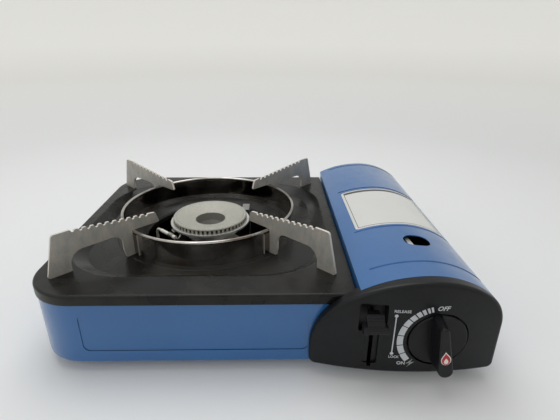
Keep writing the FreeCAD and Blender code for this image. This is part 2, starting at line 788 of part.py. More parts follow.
def electrode_clip():
    """Strip that holds the ceramic to the side of the bowl."""
    along = (electrode_high - electrode_low).normalize()
    middle = electrode_low + along * (electrode_low.distanceToPoint(electrode_high) * 0.7)
    band = tube(electrode_r + 0.9, electrode_r + 0.03, middle - along * 3, middle + along * 3)
    inward = V(ring_x - middle.x, ring_y - middle.y, 0)
    reach = inward.Length - bowl_r + 3.0
    inward = inward.normalize()
    z = cap_low_z - 3.2
    start = middle + inward * (electrode_r + 0.2)
    arm = Part.makeBox(reach, 6, 1.0)
    arm.translate(V(0, -3, 0))
    arm.rotate(V(0, 0, 0), V(0, 0, 1), math.degrees(math.atan2(inward.y, inward.x)))
    arm.translate(V(start.x, start.y, z))
    arm = arm.cut(burner_body()).cut(rod(electrode_r + 0.03, electrode_low, electrode_high))
    return band.fuse(arm)


def ignition_lead():
    along = (electrode_high - electrode_low).normalize()
    start = V(piezo_left_x + piezo_width / 2, piezo_y + 8, piezo_z + 2.5)
    elbow = electrode_low - along * 9
    points = [start, V(start.x, start.y, lead_z), V(governor_left_x + 10, lead_y, lead_z),
              V(ring_x + 20, lead_y + 4, lead_z), V(elbow.x, elbow.y - 20, lead_z),
              V(elbow.x, elbow.y, lead_z + 14), elbow, electrode_low]
    return bent_rod(points, [6.0, 20.0, 20.0, 12.0, 10.0, 5.0], lead_r)


# Lid over the cartridge

def lid_cover():
    low_z = hinge_z + knuckle_r + 2 * fit_gap
    flange_z = rim_z - lid_flange_drop
    outer = arch_prism(0, lid_front_y, back_y, lid_left_x, low_z)
    inner = arch_prism(lid_sheet, lid_front_y - 1, back_y - lid_sheet, lid_left_x + lid_sheet, 0)
    rear_hole = arch_prism(lid_end_flange, back_y - 2, back_y + 1, lid_left_x + lid_sheet, 0)
    low_left = block(lid_left_x - 1, lid_front_y - 1, 0,
                     right_x - lid_end_flange, back_y + 1, flange_z)
    cover = outer.cut(inner).cut(rear_hole).cut(low_left)
    for place in lid_groove_places:
        y = front_y + place
        for half, depth in ((lid_groove_width / 2, lid_groove_depth / 2),
                            (lid_groove_width / 4, lid_groove_depth)):
            band = block(seam_x + lid_groove_inset, y - half, low_z - 1, right_x + 1, y + half, apex_z + 1)
            cover = cover.cut(band.cut(arch_prism(depth, y - 3, y + 3, lid_left_x, 0)))
    x0, y0, x1, y1 = label_box()
    bed = rect_prism(x0, y0, x1, y1, rim_z, apex_z + 1, (3.0,) * 4)
    cover = cover.cut(bed.cut(arch_prism(label_recess, y0 - 1, y1 + 1, lid_left_x, 0)))
    x = seam_x + window_x
    y = front_y + window_y
    cover = cover.cut(rect_prism(x - window_width / 2, y - window_depth / 2, x + window_width / 2,
                                 y + window_depth / 2, rim_z, apex_z + 1, (window_depth * 0.45,) * 4))
    for middle in hinge_places:
        y0 = middle - knuckle_length / 2
        y1 = middle + knuckle_length / 2
        eye = rod(knuckle_r, V(hinge_x, y0, hinge_z), V(hinge_x, y1, hinge_z))
        leaf = block(right_x - lid_sheet, y0, hinge_z, right_x, y1, low_z + 1)
        cover = cover.fuse(eye.fuse(leaf))
        cover = cover.cut(rod(hinge_pin_r + running_gap, V(hinge_x, y0 - 1, hinge_z),
                              V(hinge_x, y1 + 1, hinge_z)))
    return cover.removeSplitter()


def label_box():
    return (seam_x + label_left, front_y + label_front, seam_x + label_right, front_y + label_back)


def lid_label():
    x0, y0, x1, y1 = label_box()
    skin = arch_prism(0.05, y0, y1, lid_left_x, 0).cut(
        arch_prism(label_recess, y0 - 1, y1 + 1, lid_left_x, 0))
    return skin.common(rect_prism(x0 + 0.3, y0 + 0.3, x1 - 0.3, y1 - 0.3, rim_z, apex_z + 1, (2.7,) * 4))


def lid_spring():
    """Leaf under the cover that presses the cartridge down; it shows through the view hole."""
    x = seam_x + window_x - window_width / 2 + spring_inset
    y = front_y + window_y
    z = apex_z - lid_sheet - 2 * running_gap
    t = spring_sheet
    low = z - spring_drop
    y0, y1, y2, y3, y4 = [y + spring_length * f for f in (-0.35, -0.2, 0.25, 0.5, 0.65)]
    return side_prism([((y0, z), 0), ((y0, z - t), 0), ((y1, z - t), 6), ((y2, low - t), 10),
                       ((y3, z - t), 6), ((y4, z - t), 0), ((y4, z), 0), ((y3, z), 6),
                       ((y2, low), 10), ((y1, z), 6)], x, x + spring_width)


def hinge_pins():
    pins = []
    reach = knuckle_length * 1.2 + fit_gap
    for middle in hinge_places:
        pin = rod(hinge_pin_r, V(hinge_x, middle - reach, hinge_z), V(hinge_x, middle + reach, hinge_z))
        head = rod(hinge_pin_r + 0.6, V(hinge_x, middle - reach - 1, hinge_z),
                   V(hinge_x, middle - reach, hinge_z))
        pins.append(pin.fuse(head))
    return Part.makeCompound(pins)


# Front panel

def bulge_radius():
    rise = panel_bulge - panel_side_bulge
    return (haunch_a ** 2 + rise ** 2) / (2 * rise)


def face_y_at(x):
    """Front face of the panel, a shallow upright cylinder."""
    radius = bulge_radius()
    return panel_front_y + radius - math.sqrt(radius ** 2 - (x - crown_x) ** 2)


def front_panel():
    low_z = floor_z + panel_lift
    radius = bulge_radius()
    axis = V(crown_x, panel_front_y + radius, -5)
    ledge_y = front_y - panel_rim
    full = arch_prism(0, panel_front_y - 1, tray_front_y, panel_left_x, low_z)
    corners = [e for e in full.Edges if all(abs(v.Z - low_z) < 1e-4 for v in e.Vertexes)
               and abs(e.Vertexes[0].X - e.Vertexes[-1].X) < 1e-4]
    full = full.makeFillet(panel_corner_r, corners)
    body = full.common(Part.makeCylinder(radius, apex_z + 20, axis)).removeSplitter()
    front_edges = [e for e in body.Edges
                   if all(abs(math.hypot(v.X - axis.x, v.Y - axis.y) - radius) < 1e-3
                          for v in e.Vertexes)]
    body = body.makeFillet(panel_edge_r, front_edges)
    step = 2 * fit_gap + lid_sheet
    under_lid = block(seam_x + fit_gap, ledge_y, 0, right_x + 1, tray_front_y + 1, apex_z + 1).cut(
        arch_prism(step, ledge_y - 1, tray_front_y + 2, seam_x, 0))
    flange_slot = block(seam_x + fit_gap, ledge_y, rim_z - lid_flange_drop - fit_gap,
                        lid_left_x + lid_sheet + fit_gap, tray_front_y + 1, apex_z)
    under_rim = block(left_x, front_y - fit_gap, rim_z - skirt_height - fit_gap,
                      seam_x + fit_gap + 0.01, tray_front_y + 1, apex_z)
    inset = step + panel_wall
    hollow = arch_prism(inset, panel_front_y - 1, tray_front_y + 1, panel_left_x + inset,
                        low_z + panel_wall)
    hollow = hollow.common(Part.makeCylinder(radius - panel_wall, apex_z + 20, axis))
    x0 = lever_mid_x - pocket_width / 2
    x1 = lever_mid_x + pocket_width / 2
    z0 = rim_z - pocket_bottom
    z1 = rim_z - pocket_top
    pocket_y = face_y_at(lever_mid_x) + pocket_depth
    shell = body.cut(hollow)
    housing = block(x0 - 1.5, panel_front_y, z0 - 1.5, x1 + 1.5, pocket_y + 1.5, z1 + 1.5)
    shell = shell.fuse(housing.common(body))
    cup = rod(knob_r + well_side_gap + 1.5, V(control_x, panel_front_y, control_z),
              V(control_x, knob_back_y + well_floor_gap + 1.5, control_z))
    shell = shell.fuse(cup.common(body))
    for x, z in panel_screw_places:
        shell = shell.fuse(rod(screw_r + 2.5, V(x, tray_front_y, z), V(x, panel_front_y, z)).common(body))
    channel_y = face_y_at(lever_mid_x) + channel_depth
    half = channel_width / 2
    cuts = [under_lid, flange_slot, under_rim,
            front_prism([((x0, z0), 1.5), ((x1, z0), 1.5), ((x1, z1), 1.5), ((x0, z1), 1.5)],
                        panel_front_y - 5, pocket_y),
            front_prism([((lever_mid_x - half, rim_z - channel_bottom), 1.5),
                         ((lever_mid_x + half, rim_z - channel_bottom), 1.5),
                         ((lever_mid_x + half, z0 + 2), 0), ((lever_mid_x - half, z0 + 2), 0)],
                        panel_front_y - 5, channel_y),
            block(lever_mid_x - slot_width / 2, panel_front_y - 5, rim_z - slot_bottom,
                  lever_mid_x + slot_width / 2, pocket_y + 3, z1 - 6),
            rod(knob_r + well_side_gap, V(control_x, panel_front_y - 5, control_z),
                V(control_x, knob_back_y + well_floor_gap, control_z)),
            rod(spindle_r + 1.5, V(control_x, panel_front_y - 5, control_z),
                V(control_x, front_y - 2, control_z))]
    for x, z in panel_screw_places:
        cuts.append(rod(screw_r + running_gap, V(x, tray_front_y + 1, z), V(x, tray_front_y - 5, z)))
    return shell.cut(Part.makeCompound(cuts)).removeSplitter()


def wall_screws(places, plate):
    """Screws driven forward through a plate and the front wall of the tray."""
    seat_y = wall_front_y + plate
    return Part.makeCompound([
        screw(V(x, seat_y, z), V(0, -1, 0), sheet + 3.5) for x, z in places])


# Control knob and valve

def grip_wire(y, grow):
    """Outline of the grip at a depth: two circles of different size and their common tangents."""
    lean = math.radians(grip_lean)
    along = V(-math.sin(lean), 0, math.cos(lean))
    side = V(-along.z, 0, along.x)
    middle = V(control_x, y, control_z)
    low_r = grip_low_r + grow
    high_r = grip_top_r + grow
    low = middle - along * (grip_half_length - grip_low_r)
    high = middle + along * (grip_half_length - grip_top_r)
    slant_angle = math.asin((low_r - high_r) / low.distanceToPoint(high))
    left = side * math.cos(slant_angle) + along * math.sin(slant_angle)
    right = side * -math.cos(slant_angle) + along * math.sin(slant_angle)
    return Part.Wire([
        Part.LineSegment(low + left * low_r, high + left * high_r).toShape(),
        Part.Arc(high + left * high_r, high + along * high_r, high + right * high_r).toShape(),
        Part.LineSegment(high + right * high_r, low + right * low_r).toShape(),
        Part.Arc(low + right * low_r, low - along * low_r, low + left * low_r).toShape()])


def control_knob():
    grip_front = knob_front_y - knob_grip
    disc = rod(knob_r, V(control_x, knob_back_y, control_z), V(control_x, knob_front_y, control_z))
    disc = disc.makeFillet(1.0, [e for e in disc.Edges
                                 if all(abs(v.Y - knob_front_y) < 1e-4 for v in e.Vertexes)])
    grip = Part.makeLoft([grip_wire(knob_front_y + 1, grip_draft), grip_wire(grip_front, 0)], True)
    grip = grip.makeFillet(1.3, [e for e in grip.Edges
                                 if all(abs(v.Y - grip_front) < 1e-4 for v in e.Vertexes)])
    knob_core = disc.fuse(grip.common(
        rod(knob_r + grip_low_r, V(control_x, knob_back_y, control_z),
            V(control_x, grip_front - 1, control_z))))
    bore = rod(spindle_r + 0.01, V(control_x, knob_back_y + 1, control_z),
               V(control_x, knob_back_y - 9, control_z))
    return knob_core.cut(bore).removeSplitter()


def valve_spindle():
    return rod(spindle_r, V(control_x, knob_back_y - 8, control_z),
               V(control_x, control_depth, control_z))


def spindle_cam():
    """Disc with a flat, which blocks the lock lever unless the knob is at off."""
    y0 = front_y - 6
    disc = rod(cam_r, V(control_x, y0, control_z), V(control_x, y0 + 3, control_z))
    flat = block(control_x - cam_r - 1, y0 - 1, control_z - cam_r - 1,
                 control_x - cam_r + 2.5, y0 + 4, control_z + cam_r + 1)
    collar = rod(spindle_r + 2, V(control_x, y0, control_z), V(control_x, y0 + 5.5, control_z))
    bore = rod(spindle_r + 0.01, V(control_x, y0 - 1, control_z), V(control_x, y0 + 7, control_z))
    return disc.cut(flat).fuse(collar).cut(bore).removeSplitter()


# Governor and what hangs on it

def governor_bracket():
    x0 = governor_left_x - 13
    x1 = piezo_left_x + 2
    z0 = governor_low_z - 7
    z1 = governor_top_z
    corners = [((x0, z0), 3), ((x1, z0), 3), ((x1, z1), 3), ((x0, z1), 3)]
    plate = front_prism(corners, wall_front_y, governor_front_y)
    holes = [rod(spindle_r + 1, V(control_x, wall_front_y - 1, control_z),
                 V(control_x, governor_front_y + 1, control_z))]
    for x, z in bracket_screw_places:
        holes.append(rod(screw_r + running_gap, V(x, wall_front_y - 1, z), V(x, governor_front_y + 1, z)))
    return plate.cut(Part.makeCompound(holes))


def governor_body():
    x0, x1 = governor_left_x, governor_left_x + governor_width
    z0, z1 = governor_low_z, governor_top_z
    y0, y1 = governor_front_y, governor_back_y
    corners = [((x0, z0), 4), ((x1, z0), 4), ((x1, z1), 4), ((x0, z1), 4)]
    body = front_prism(corners, y0, y1)
    boss = rod(socket_r + 2.5, V(gas_x, y1 - 1, gas_z), V(gas_x, y1 + 2, gas_z))
    body = body.fuse(boss)
    bores = [rod(spindle_r + running_gap, V(control_x, y0 - 1, control_z),
                 V(control_x, control_depth + 2, control_z)),
             rod(socket_r - 2, V(gas_x, y1 - 4, gas_z), V(gas_x, y1 + 4, gas_z)),
             rod(pipe_r + 0.01, V(x0 - 1, pipe_y, pipe_z), V(x0 + 4, pipe_y, pipe_z))]
    return body.cut(Part.makeCompound(bores)).removeSplitter()


def diaphragm_cover():
    x = governor_left_x
    y = governor_front_y + governor_depth / 2
    z = (governor_low_z + governor_top_z) / 2 + 2
    dome = rod(diaphragm_r - 2.5, V(x - diaphragm_height, y, z), V(x - 1.5, y, z))
    dome = dome.makeFillet(2.0, [e for e in dome.Edges
                                 if all(abs(v.X - x + diaphragm_height) < 1e-4 for v in e.Vertexes)])
    return dome.fuse(rod(diaphragm_r, V(x - 1.5, y, z), V(x, y, z))).removeSplitter()


def cartridge_socket():
    start = V(gas_x, governor_back_y - 4, gas_z)
    rim = V(gas_x, governor_back_y + 2, gas_z)
    end = V(gas_x, governor_back_y + socket_length, gas_z)
    stem = rod(socket_r - 2.01, start, rim + V(0, 0.5, 0))
    head = rod(socket_r, rim, end)
    bore = rod(socket_r - 4, end + V(0, 1, 0), end - V(0, 7, 0))
    return stem.fuse(head).cut(bore).removeSplitter()


def socket_seal():
    end = V(gas_x, governor_back_y + socket_length - 7, gas_z)
    return tube(socket_r - 4.01, 2.2, end, end + V(0, 3, 0))


def gas_jet_places():
    """Nozzle tip ahead of the mouth of the tube, and the nozzle's back end."""
    root = V(ring_x, ring_y, tube_z)
    tip = root + tube_dir * (tube_length + jet_gap)
    return tip, tip + tube_dir * nozzle_length


def gas_nozzle():
    tip, back = gas_jet_places()
    body = rod(nozzle_r, tip + tube_dir * 2.5, back)
    cone = Part.makeCone(1.5, nozzle_r, 2.5, tip, tube_dir)
    jet = rod(0.4, tip - tube_dir, tip + tube_dir * 5)
    bore = rod(pipe_r + 0.01, back - tube_dir * 3, back + tube_dir)
    return body.fuse(cone).cut(jet).cut(bore).removeSplitter()


def gas_pipe():
    back = gas_jet_places()[1]
    start = V(governor_left_x + 4, pipe_y, pipe_z)
    low = V(partition_left_x - pipe_r - 2, pipe_y, pipe_z)
    return bent_rod([start, low, back + tube_dir * pipe_run, back - tube_dir * 3], [6.0, 8.0], pipe_r)


def piezo_igniter():
    x0, x1 = piezo_left_x, piezo_left_x + piezo_width
    body = block(x0, piezo_y, piezo_z, x1, piezo_y + piezo_depth, governor_top_z)
    body = body.makeFillet(2.0, [e for e in body.Edges
                                 if abs(e.Vertexes[0].Z - e.Vertexes[-1].Z) > piezo_height - 1])
    mid = V((x0 + x1) / 2, piezo_y + 8, piezo_z)
    body = body.fuse(rod(3.0, mid - V(0, 0, 2.5), mid + V(0, 0, 1)))
    return body.cut(rod(lead_r + 0.01, mid - V(0, 0, 4), mid + V(0, 0, 3))).removeSplitter()


# Lock lever and the carriage that it pulls

def lever_bracket():
    x = lever_mid_x - lever_bracket_gap
    half = lever_bracket_half
    z0, z1 = pivot_z - half, pivot_z + half
    profile = [((wall_front_y, z0), 0), ((pivot_y + half * 0.6, z0), 4), ((pivot_y + half, pivot_z - 2), 4),
               ((pivot_y + half, z1 - 4), 4), ((pivot_y + half * 0.6, z1), 2), ((wall_front_y, z1), 0)]
    web = side_prism(profile, x, x + bracket_sheet)
    flange = block(x - 4.5, wall_front_y, z0, x + bracket_sheet, wall_front_y + bracket_sheet, z1)
    hole = rod(pivot_pin_r + running_gap, V(x - 1, pivot_y, pivot_z), V(x + 3, pivot_y, pivot_z))
    return web.fuse(flange).cut(hole).removeSplitter()


def lever_pivot_pin():
    x = lever_mid_x - lever_bracket_gap
    blade = lever_mid_x - lever_sheet / 2
    at = V(0, pivot_y, pivot_z)
    shaft = rod(pivot_pin_r, at + V(x - 1.0, 0, 0), at + V(blade + lever_sheet + 0.8, 0, 0))
    head = rod(pivot_pin_r + 1.5, at + V(x - 2.2, 0, 0), at + V(x - 0.05, 0, 0))
    collar = rod(pivot_pin_r + 1.5, at + V(x + bracket_sheet, 0, 0), at + V(blade - fit_gap, 0, 0))
    ring = rod(pivot_pin_r + 1, at + V(blade + lever_sheet + 0.2, 0, 0),
               at + V(blade + lever_sheet + 0.8, 0, 0))
    return shaft.fuse(head).fuse(collar).fuse(ring).removeSplitter()


def drive_point():
    turn = math.radians(lever_sweep / 2)
    return V(0, pivot_y + drive_reach * math.sin(turn), pivot_z + drive_reach * math.cos(turn))


def lever_blade(x0, x1, half_width):
    """Arm of the lever from its pivot to the button, at rest half the sweep above level."""
    rise = math.tan(math.radians(lever_sweep / 2))

    def z_at(y):
        return pivot_z + (pivot_y - y) * rise

    near = pivot_y - 4
    far = front_y - 16.5
    points = [((near, z_at(near) - half_width), 0), ((far, z_at(far) - 2.2), 1.5),
              ((far, z_at(far) + 2.2), 1.5), ((near, z_at(near) + half_width), 0)]
    return side_prism(points, x0, x1)


def lock_lever():
    x0 = lever_mid_x - lever_sheet / 2
    x1 = lever_mid_x + lever_sheet / 2
    pin = drive_point()
    hub = rod(lever_hub_r, V(x0, pivot_y, pivot_z), V(x1, pivot_y, pivot_z))
    horn_eye = rod(drive_pin_r + 2.5, V(x0, pin.y, pin.z), V(x1, pin.y, pin.z))
    horn = side_prism([((pivot_y - 4.5, pivot_z + 2), 0), ((pivot_y + 5.5, pivot_z), 0),
                       ((pin.y + 3.4, pin.z - 0.5), 0), ((pin.y - 3.4, pin.z), 0)], x0, x1)
    lever = lever_blade(x0, x1, 5.0).fuse(hub).fuse(horn).fuse(horn_eye)
    holes = [rod(pivot_pin_r + running_gap, V(x0 - 1, pivot_y, pivot_z), V(x1 + 1, pivot_y, pivot_z)),
             rod(drive_pin_r + 0.01, V(x0 - 1, pin.y, pin.z), V(x1 + 1, pin.y, pin.z))]
    return lever.cut(Part.makeCompound(holes)).removeSplitter()


def drive_pin():
    pin = drive_point()
    x1 = lever_mid_x + lever_sheet / 2
    shaft = rod(drive_pin_r, V(x1 - lever_sheet, pin.y, pin.z), V(x1 + 3.2, pin.y, pin.z))
    return shaft.fuse(rod(drive_pin_r + 1, V(x1 + 2.6, pin.y, pin.z), V(x1 + 3.4, pin.y, pin.z)))


def lever_button():
    """Plastic thumb piece pushed on the end of the lever."""
    y0 = front_y
    z0 = rim_z
    half = button_width / 2
    head = side_prism([((y0 - 12.5, z0 - 4), 1.0), ((y0 - 17, z0 - 17), 1.0),
                       ((y0 - 22.5, z0 - 17), 1.0), ((y0 - 22.5, z0 - 13.5), 1.0),
                       ((y0 - 20.8, z0 - 12), 0.5), ((y0 - 20.8, z0 - 10.5), 0.5)],
                      lever_mid_x - half, lever_mid_x + half)
    taper = [((lever_mid_x - half, z0 - 20), 0), ((lever_mid_x + half, z0 - 20), 0),
             ((lever_mid_x + half, z0 - 12.6), 0), ((lever_mid_x + half - 2.8, z0 - 11.8), 0),
             ((lever_mid_x + half - 1.8, z0), 0), ((lever_mid_x - half + 1.8, z0), 0),
             ((lever_mid_x - half + 2.8, z0 - 11.8), 0), ((lever_mid_x - half, z0 - 12.6), 0)]
    head = head.common(front_prism(taper, y0 - 30, y0))
    for i in range(4):
        y = y0 - 13.8 - 1.7 * i
        z = z0 - 4.8 - 1.33 * i
        head = head.cut(rod(0.45, V(lever_mid_x - half, y, z), V(lever_mid_x + half, y, z)))
    neck = side_prism([((y0 - 8.4, z0 - 6.8), 0), ((y0 - 10.9, z0 - 12.7), 0),
                       ((y0 - 14.4, z0 - 16.8), 0), ((y0 - 18, z0 - 16), 0),
                       ((y0 - 15, z0 - 6), 0)],
                      lever_mid_x - button_neck / 2, lever_mid_x + button_neck / 2)
    button = head.fuse(neck).removeSplitter()
    x0 = lever_mid_x - lever_sheet / 2
    return button.cut(lever_blade(x0 - 0.01, x0 + lever_sheet + 0.01, 5.02)).removeSplitter()


def cartridge_carriage():
    """Fork plate behind the cartridge's collar, its foot on the floor and its side bar."""
    y0 = front_y + carriage_rest_y
    y1 = y0 + carriage_sheet
    x0 = gas_x - carriage_half_width
    x1 = gas_x + carriage_half_width
    low = inner_floor_z + fit_gap
    top = gas_z + 4
    plate = front_prism([((x0, low), 0), ((x1, low), 0), ((x1, top), 4), ((x0, top), 4)], y0, y1)
    notch = rod(fork_r, V(gas_x, y0 - 1, gas_z), V(gas_x, y1 + 1, gas_z)).fuse(
        block(gas_x - fork_r, y0 - 1, gas_z, gas_x + fork_r, y1 + 1, top + 1))
    foot = block(x0, y0 - 16, low, x1, y1, low + carriage_sheet)
    pin = drive_point()
    bar_x = lever_mid_x + lever_sheet / 2 + 1
    bar = side_prism([((pin.y - 5, pin.z - 5), 2), ((y1, pin.z - 5), 0),
                      ((y1, pin.z + 5), 0), ((pin.y - 5, pin.z + 5), 2)], bar_x, bar_x + bracket_sheet)
    ear = block(bar_x, y0, pin.z - 5, x0 + 4, y1, pin.z + 5)
    rise = drive_reach * (1 - math.cos(math.radians(lever_sweep / 2)))
    slot = block(bar_x - 1, pin.y - drive_pin_r - 0.15, pin.z - drive_pin_r - 0.4,
                 bar_x + 3, pin.y + drive_pin_r + 0.15, pin.z + rise + drive_pin_r + 0.4)
    body = plate.cut(notch).fuse(foot).fuse(bar).fuse(ear)
    for x in stud_places():
        half = guide_stud_r + 0.15
        body = body.cut(rect_prism(x - half, stud_y() - half, x + half,
                                   stud_y() + carriage_travel() + half,
                                   low - 1, low + 3, (guide_stud_r,) * 4))
    return body.cut(slot).removeSplitter()


def carriage_travel():
    return 2 * drive_reach * math.sin(math.radians(lever_sweep / 2))


def stud_places():
    return (gas_x - guide_stud_reach, gas_x + guide_stud_reach)


def stud_y():
    return front_y + carriage_rest_y - guide_stud_front


def carriage_studs():
    low = inner_floor_z
    studs = []
    for x in stud_places():
        shank = rod(guide_stud_r, V(x, stud_y(), low), V(x, stud_y(), low + 3))
        head = rod(guide_stud_r + 1.5, V(x, stud_y(), low + fit_gap + carriage_sheet + 0.2),
                   V(x, stud_y(), low + 3.2))
        studs.append(shank.fuse(head).removeSplitter())
    return Part.makeCompound(studs)


nodes = {
    "body_tray": body_tray(),
    "top_plate": top_plate(),
    "partition_wall": partition_wall(),
    "front_panel": front_panel(),
    "foot_front_left": rubber_foot(left_x + foot_inset, front_y + foot_inset),
    "foot_front_right": rubber_foot(right_x - foot_inset, front_y + foot_inset),
    "foot_rear_left": rubber_foot(left_x + foot_inset, back_y - foot_inset),
    "foot_rear_right": rubber_foot(right_x - foot_inset, back_y - foot_inset),
    "burner_bracket": burner_bracket(),
    "burner_screws": burner_screws(),
    "burner_body": burner_body(),
    "burner_cap": burner_cap(),
    "electrode_ceramic": electrode_ceramic(),
    "electrode_tip": electrode_tip(),
    "electrode_clip": electrode_clip(),
    "ignition_lead": ignition_lead(),
    "heat_plate": heat_plate(),
    "saddle_front": cartridge_saddle(saddle_places[0]),
    "saddle_rear": cartridge_saddle(saddle_places[1]),
    "governor_bracket": governor_bracket(),
    "governor_body": governor_body(),
    "bracket_screws": wall_screws(bracket_screw_places, bracket_sheet),
    "diaphragm_cover": diaphragm_cover(),
    "cartridge_socket": cartridge_socket(),
    "socket_seal": socket_seal(),
    "gas_pipe": gas_pipe(),
    "gas_nozzle": gas_nozzle(),
    "piezo_igniter": piezo_igniter(),
    "lever_bracket": lever_bracket(),
    "lever_pivot_pin": lever_pivot_pin(),
    "carriage_studs": carriage_studs(),
    "lid_hinge_pins": hinge_pins(),
    "panel_screws": wall_screws(panel_screw_places, 0),
    "trivet_ring": trivet_ring(),
    "arm_front_left": pan_arm(arm_turns[0], 1),
    "arm_front_right": pan_arm(arm_turns[1], -1),
    "arm_rear_left": pan_arm(arm_turns[2], -1),
    "arm_rear_right": pan_arm(arm_turns[3], 1),
    "lid_cover": lid_cover(),
    "lid_label": lid_label(),
    "lid_spring": lid_spring(),
    "control_knob": control_knob(),
    "valve_spindle": valve_spindle(),
    "spindle_cam": spindle_cam(),
    "lock_lever": lock_lever(),
    "lever_button": lever_button(),
    "drive_pin": drive_pin(),
    "cartridge_carriage": cartridge_carriage(),
}

os.makedirs("parts", exist_ok=True)
for name, shape in nodes.items():
    shape.exportStep("parts/" + name + ".step")
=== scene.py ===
import math
import bmesh
import bpy
from mathutils import Euler, Matrix, Quaternion, Vector


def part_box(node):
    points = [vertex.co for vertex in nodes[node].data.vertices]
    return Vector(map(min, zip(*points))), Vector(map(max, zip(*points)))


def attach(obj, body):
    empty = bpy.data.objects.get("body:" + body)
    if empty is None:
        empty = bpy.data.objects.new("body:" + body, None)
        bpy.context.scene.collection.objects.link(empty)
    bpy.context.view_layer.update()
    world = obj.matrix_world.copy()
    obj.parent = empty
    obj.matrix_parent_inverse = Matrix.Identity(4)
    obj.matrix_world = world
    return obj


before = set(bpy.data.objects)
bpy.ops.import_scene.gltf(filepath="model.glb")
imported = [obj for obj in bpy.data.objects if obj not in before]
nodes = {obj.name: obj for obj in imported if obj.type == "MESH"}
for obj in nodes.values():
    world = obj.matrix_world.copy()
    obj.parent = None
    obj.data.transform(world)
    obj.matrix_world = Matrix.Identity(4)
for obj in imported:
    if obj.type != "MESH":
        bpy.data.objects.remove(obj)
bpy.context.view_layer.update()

mm = 0.001


# Helpers for colours and nodes

def linear(hexText):
    parts = [int(hexText[i:i + 2], 16) / 255 for i in (1, 3, 5)]
    return tuple(c / 12.92 if c <= 0.04045 else ((c + 0.055) / 1.055) ** 2.4 for c in parts) + (1.0,)


def addNode(material, kind, links=None, values=None, **settings):
    node = material.node_tree.nodes.new(kind)
    for key, setting in settings.items():
        setattr(node, key, setting)
    for socket, value in (values or {}).items():
        node.inputs[socket].default_value = value
    for socket, source in (links or {}).items():
        material.node_tree.links.new(source, node.inputs[socket])
    return node


# What a look's entries set on the shader itself
shaderSockets = {"roughness": "Roughness", "metallic": "Metallic", "ior": "IOR", "coat": "Coat Weight",
                 "coatRoughness": "Coat Roughness", "specular": "Specular IOR Level"}
mixA, mixB, mixOut = 6, 7, 2            # the colour sockets of a Mix node whose data type is RGBA
levelOnly = (1, 1, 0)                   # a vector times this has lost its height


def startMaterial(name, look):
    material = bpy.data.materials.new(name)
    material.use_nodes = True
    shader = material.node_tree.nodes["Principled BSDF"]
    shader.inputs["Base Color"].default_value = linear(look["colour"])
    for key, socket in shaderSockets.items():
        if key in look:
            shader.inputs[socket].default_value = look[key]
    place = addNode(material, "ShaderNodeTexCoord").outputs["Object"]
    return material, shader, place


def join(material, source, socket):
    material.node_tree.links.new(source, socket)


def perMm(size):
    return 1 / mm / size            # texture scale whose pattern repeats about every size millimetres


# Materials

# Gloss polyester powder paint on pressed steel: the baked powder leaves a slight orange peel and
# handling leaves a few fine dull scuffs. The insides, and the wall that the front panel hides (right of
# hiddenX and in front of hiddenY, in metres), get a near-black painted shade colour instead of the blue.
powderPaint = {"colour": "#1f66a6", "deep": "#1a5b98", "paintedShade": "#191a1c", "roughness": 0.28, "ior": 1.5,
               "coat": 0.65, "coatRoughness": 0.10, "cloudMm": 70, "scuffMm": 14, "scuffDull": 0.14,
               "peelMm": 1.8, "peelDepth": 0.00004, "hiddenX": 0.070, "hiddenY": -0.1115}
nothingHidden = -1.0            # a hiddenY in front of the whole stove


def makePowderPaint(name, look, middle):
    material, shader, place = startMaterial(name, look)
    cloud = addNode(material, "ShaderNodeTexNoise", {"Vector": place},
                    {"Scale": perMm(look["cloudMm"]), "Detail": 3.0, "Roughness": 0.6})
    tone = addNode(material, "ShaderNodeMix", {"Factor": cloud.outputs["Fac"]},
                   {mixA: linear(look["colour"]), mixB: linear(look["deep"])}, data_type="RGBA")
    # a face that looks back towards the middle is an inside
    outward = addNode(material, "ShaderNodeVectorMath", {0: place}, {1: middle}, operation="SUBTRACT")
    facing = addNode(material, "ShaderNodeTexCoord").outputs["Normal"]
    away = addNode(material, "ShaderNodeVectorMath", {0: outward.outputs[0], 1: facing},
                   operation="DOT_PRODUCT")
    inside = addNode(material, "ShaderNodeMath", {0: away.outputs["Value"]}, {1: 0.0},
                     operation="LESS_THAN")
    spot = addNode(material, "ShaderNodeSeparateXYZ", {0: place})
    right = addNode(material, "ShaderNodeMath", {0: spot.outputs["X"]}, {1: look["hiddenX"]},
                    operation="GREATER_THAN")
    front = addNode(material, "ShaderNodeMath", {0: spot.outputs["Y"]}, {1: look["hiddenY"]},
                    operation="LESS_THAN")
    hidden = addNode(material, "ShaderNodeMath", {0: right.outputs[0], 1: front.outputs[0]},
                     operation="MULTIPLY")
    # painted shade: insides and the wall behind the front panel are mixed to the near-black colour
    shadeAndBareTab = addNode(material, "ShaderNodeMath", {0: inside.outputs[0], 1: hidden.outputs[0]},
                   operation="MAXIMUM")
    shadedTone = addNode(material, "ShaderNodeMix", {"Factor": shadeAndBareTab.outputs[0], mixA: tone.outputs[mixOut]},
                     {mixB: linear(look["paintedShade"])}, data_type="RGBA")
    join(material, shadedTone.outputs[mixOut], shader.inputs["Base Color"])
    scuff = addNode(material, "ShaderNodeTexNoise", {"Vector": place},
                    {"Scale": perMm(look["scuffMm"]), "Detail": 6.0, "Roughness": 0.7})
    dull = addNode(material, "ShaderNodeMapRange", {"Value": scuff.outputs["Fac"]},
                   {"From Min": 0.45, "From Max": 0.75, "To Min": look["roughness"],
                    "To Max": look["roughness"] + look["scuffDull"]})
    join(material, dull.outputs["Result"], shader.inputs["Roughness"])
    peel = addNode(material, "ShaderNodeTexNoise", {"Vector": place},
                   {"Scale": perMm(look["peelMm"]), "Detail": 1.0})
    bump = addNode(material, "ShaderNodeBump", {"Height": peel.outputs["Fac"]},
                   {"Strength": 0.5, "Distance": look["peelDepth"]})
    join(material, bump.outputs["Normal"], shader.inputs["Normal"])
    return material


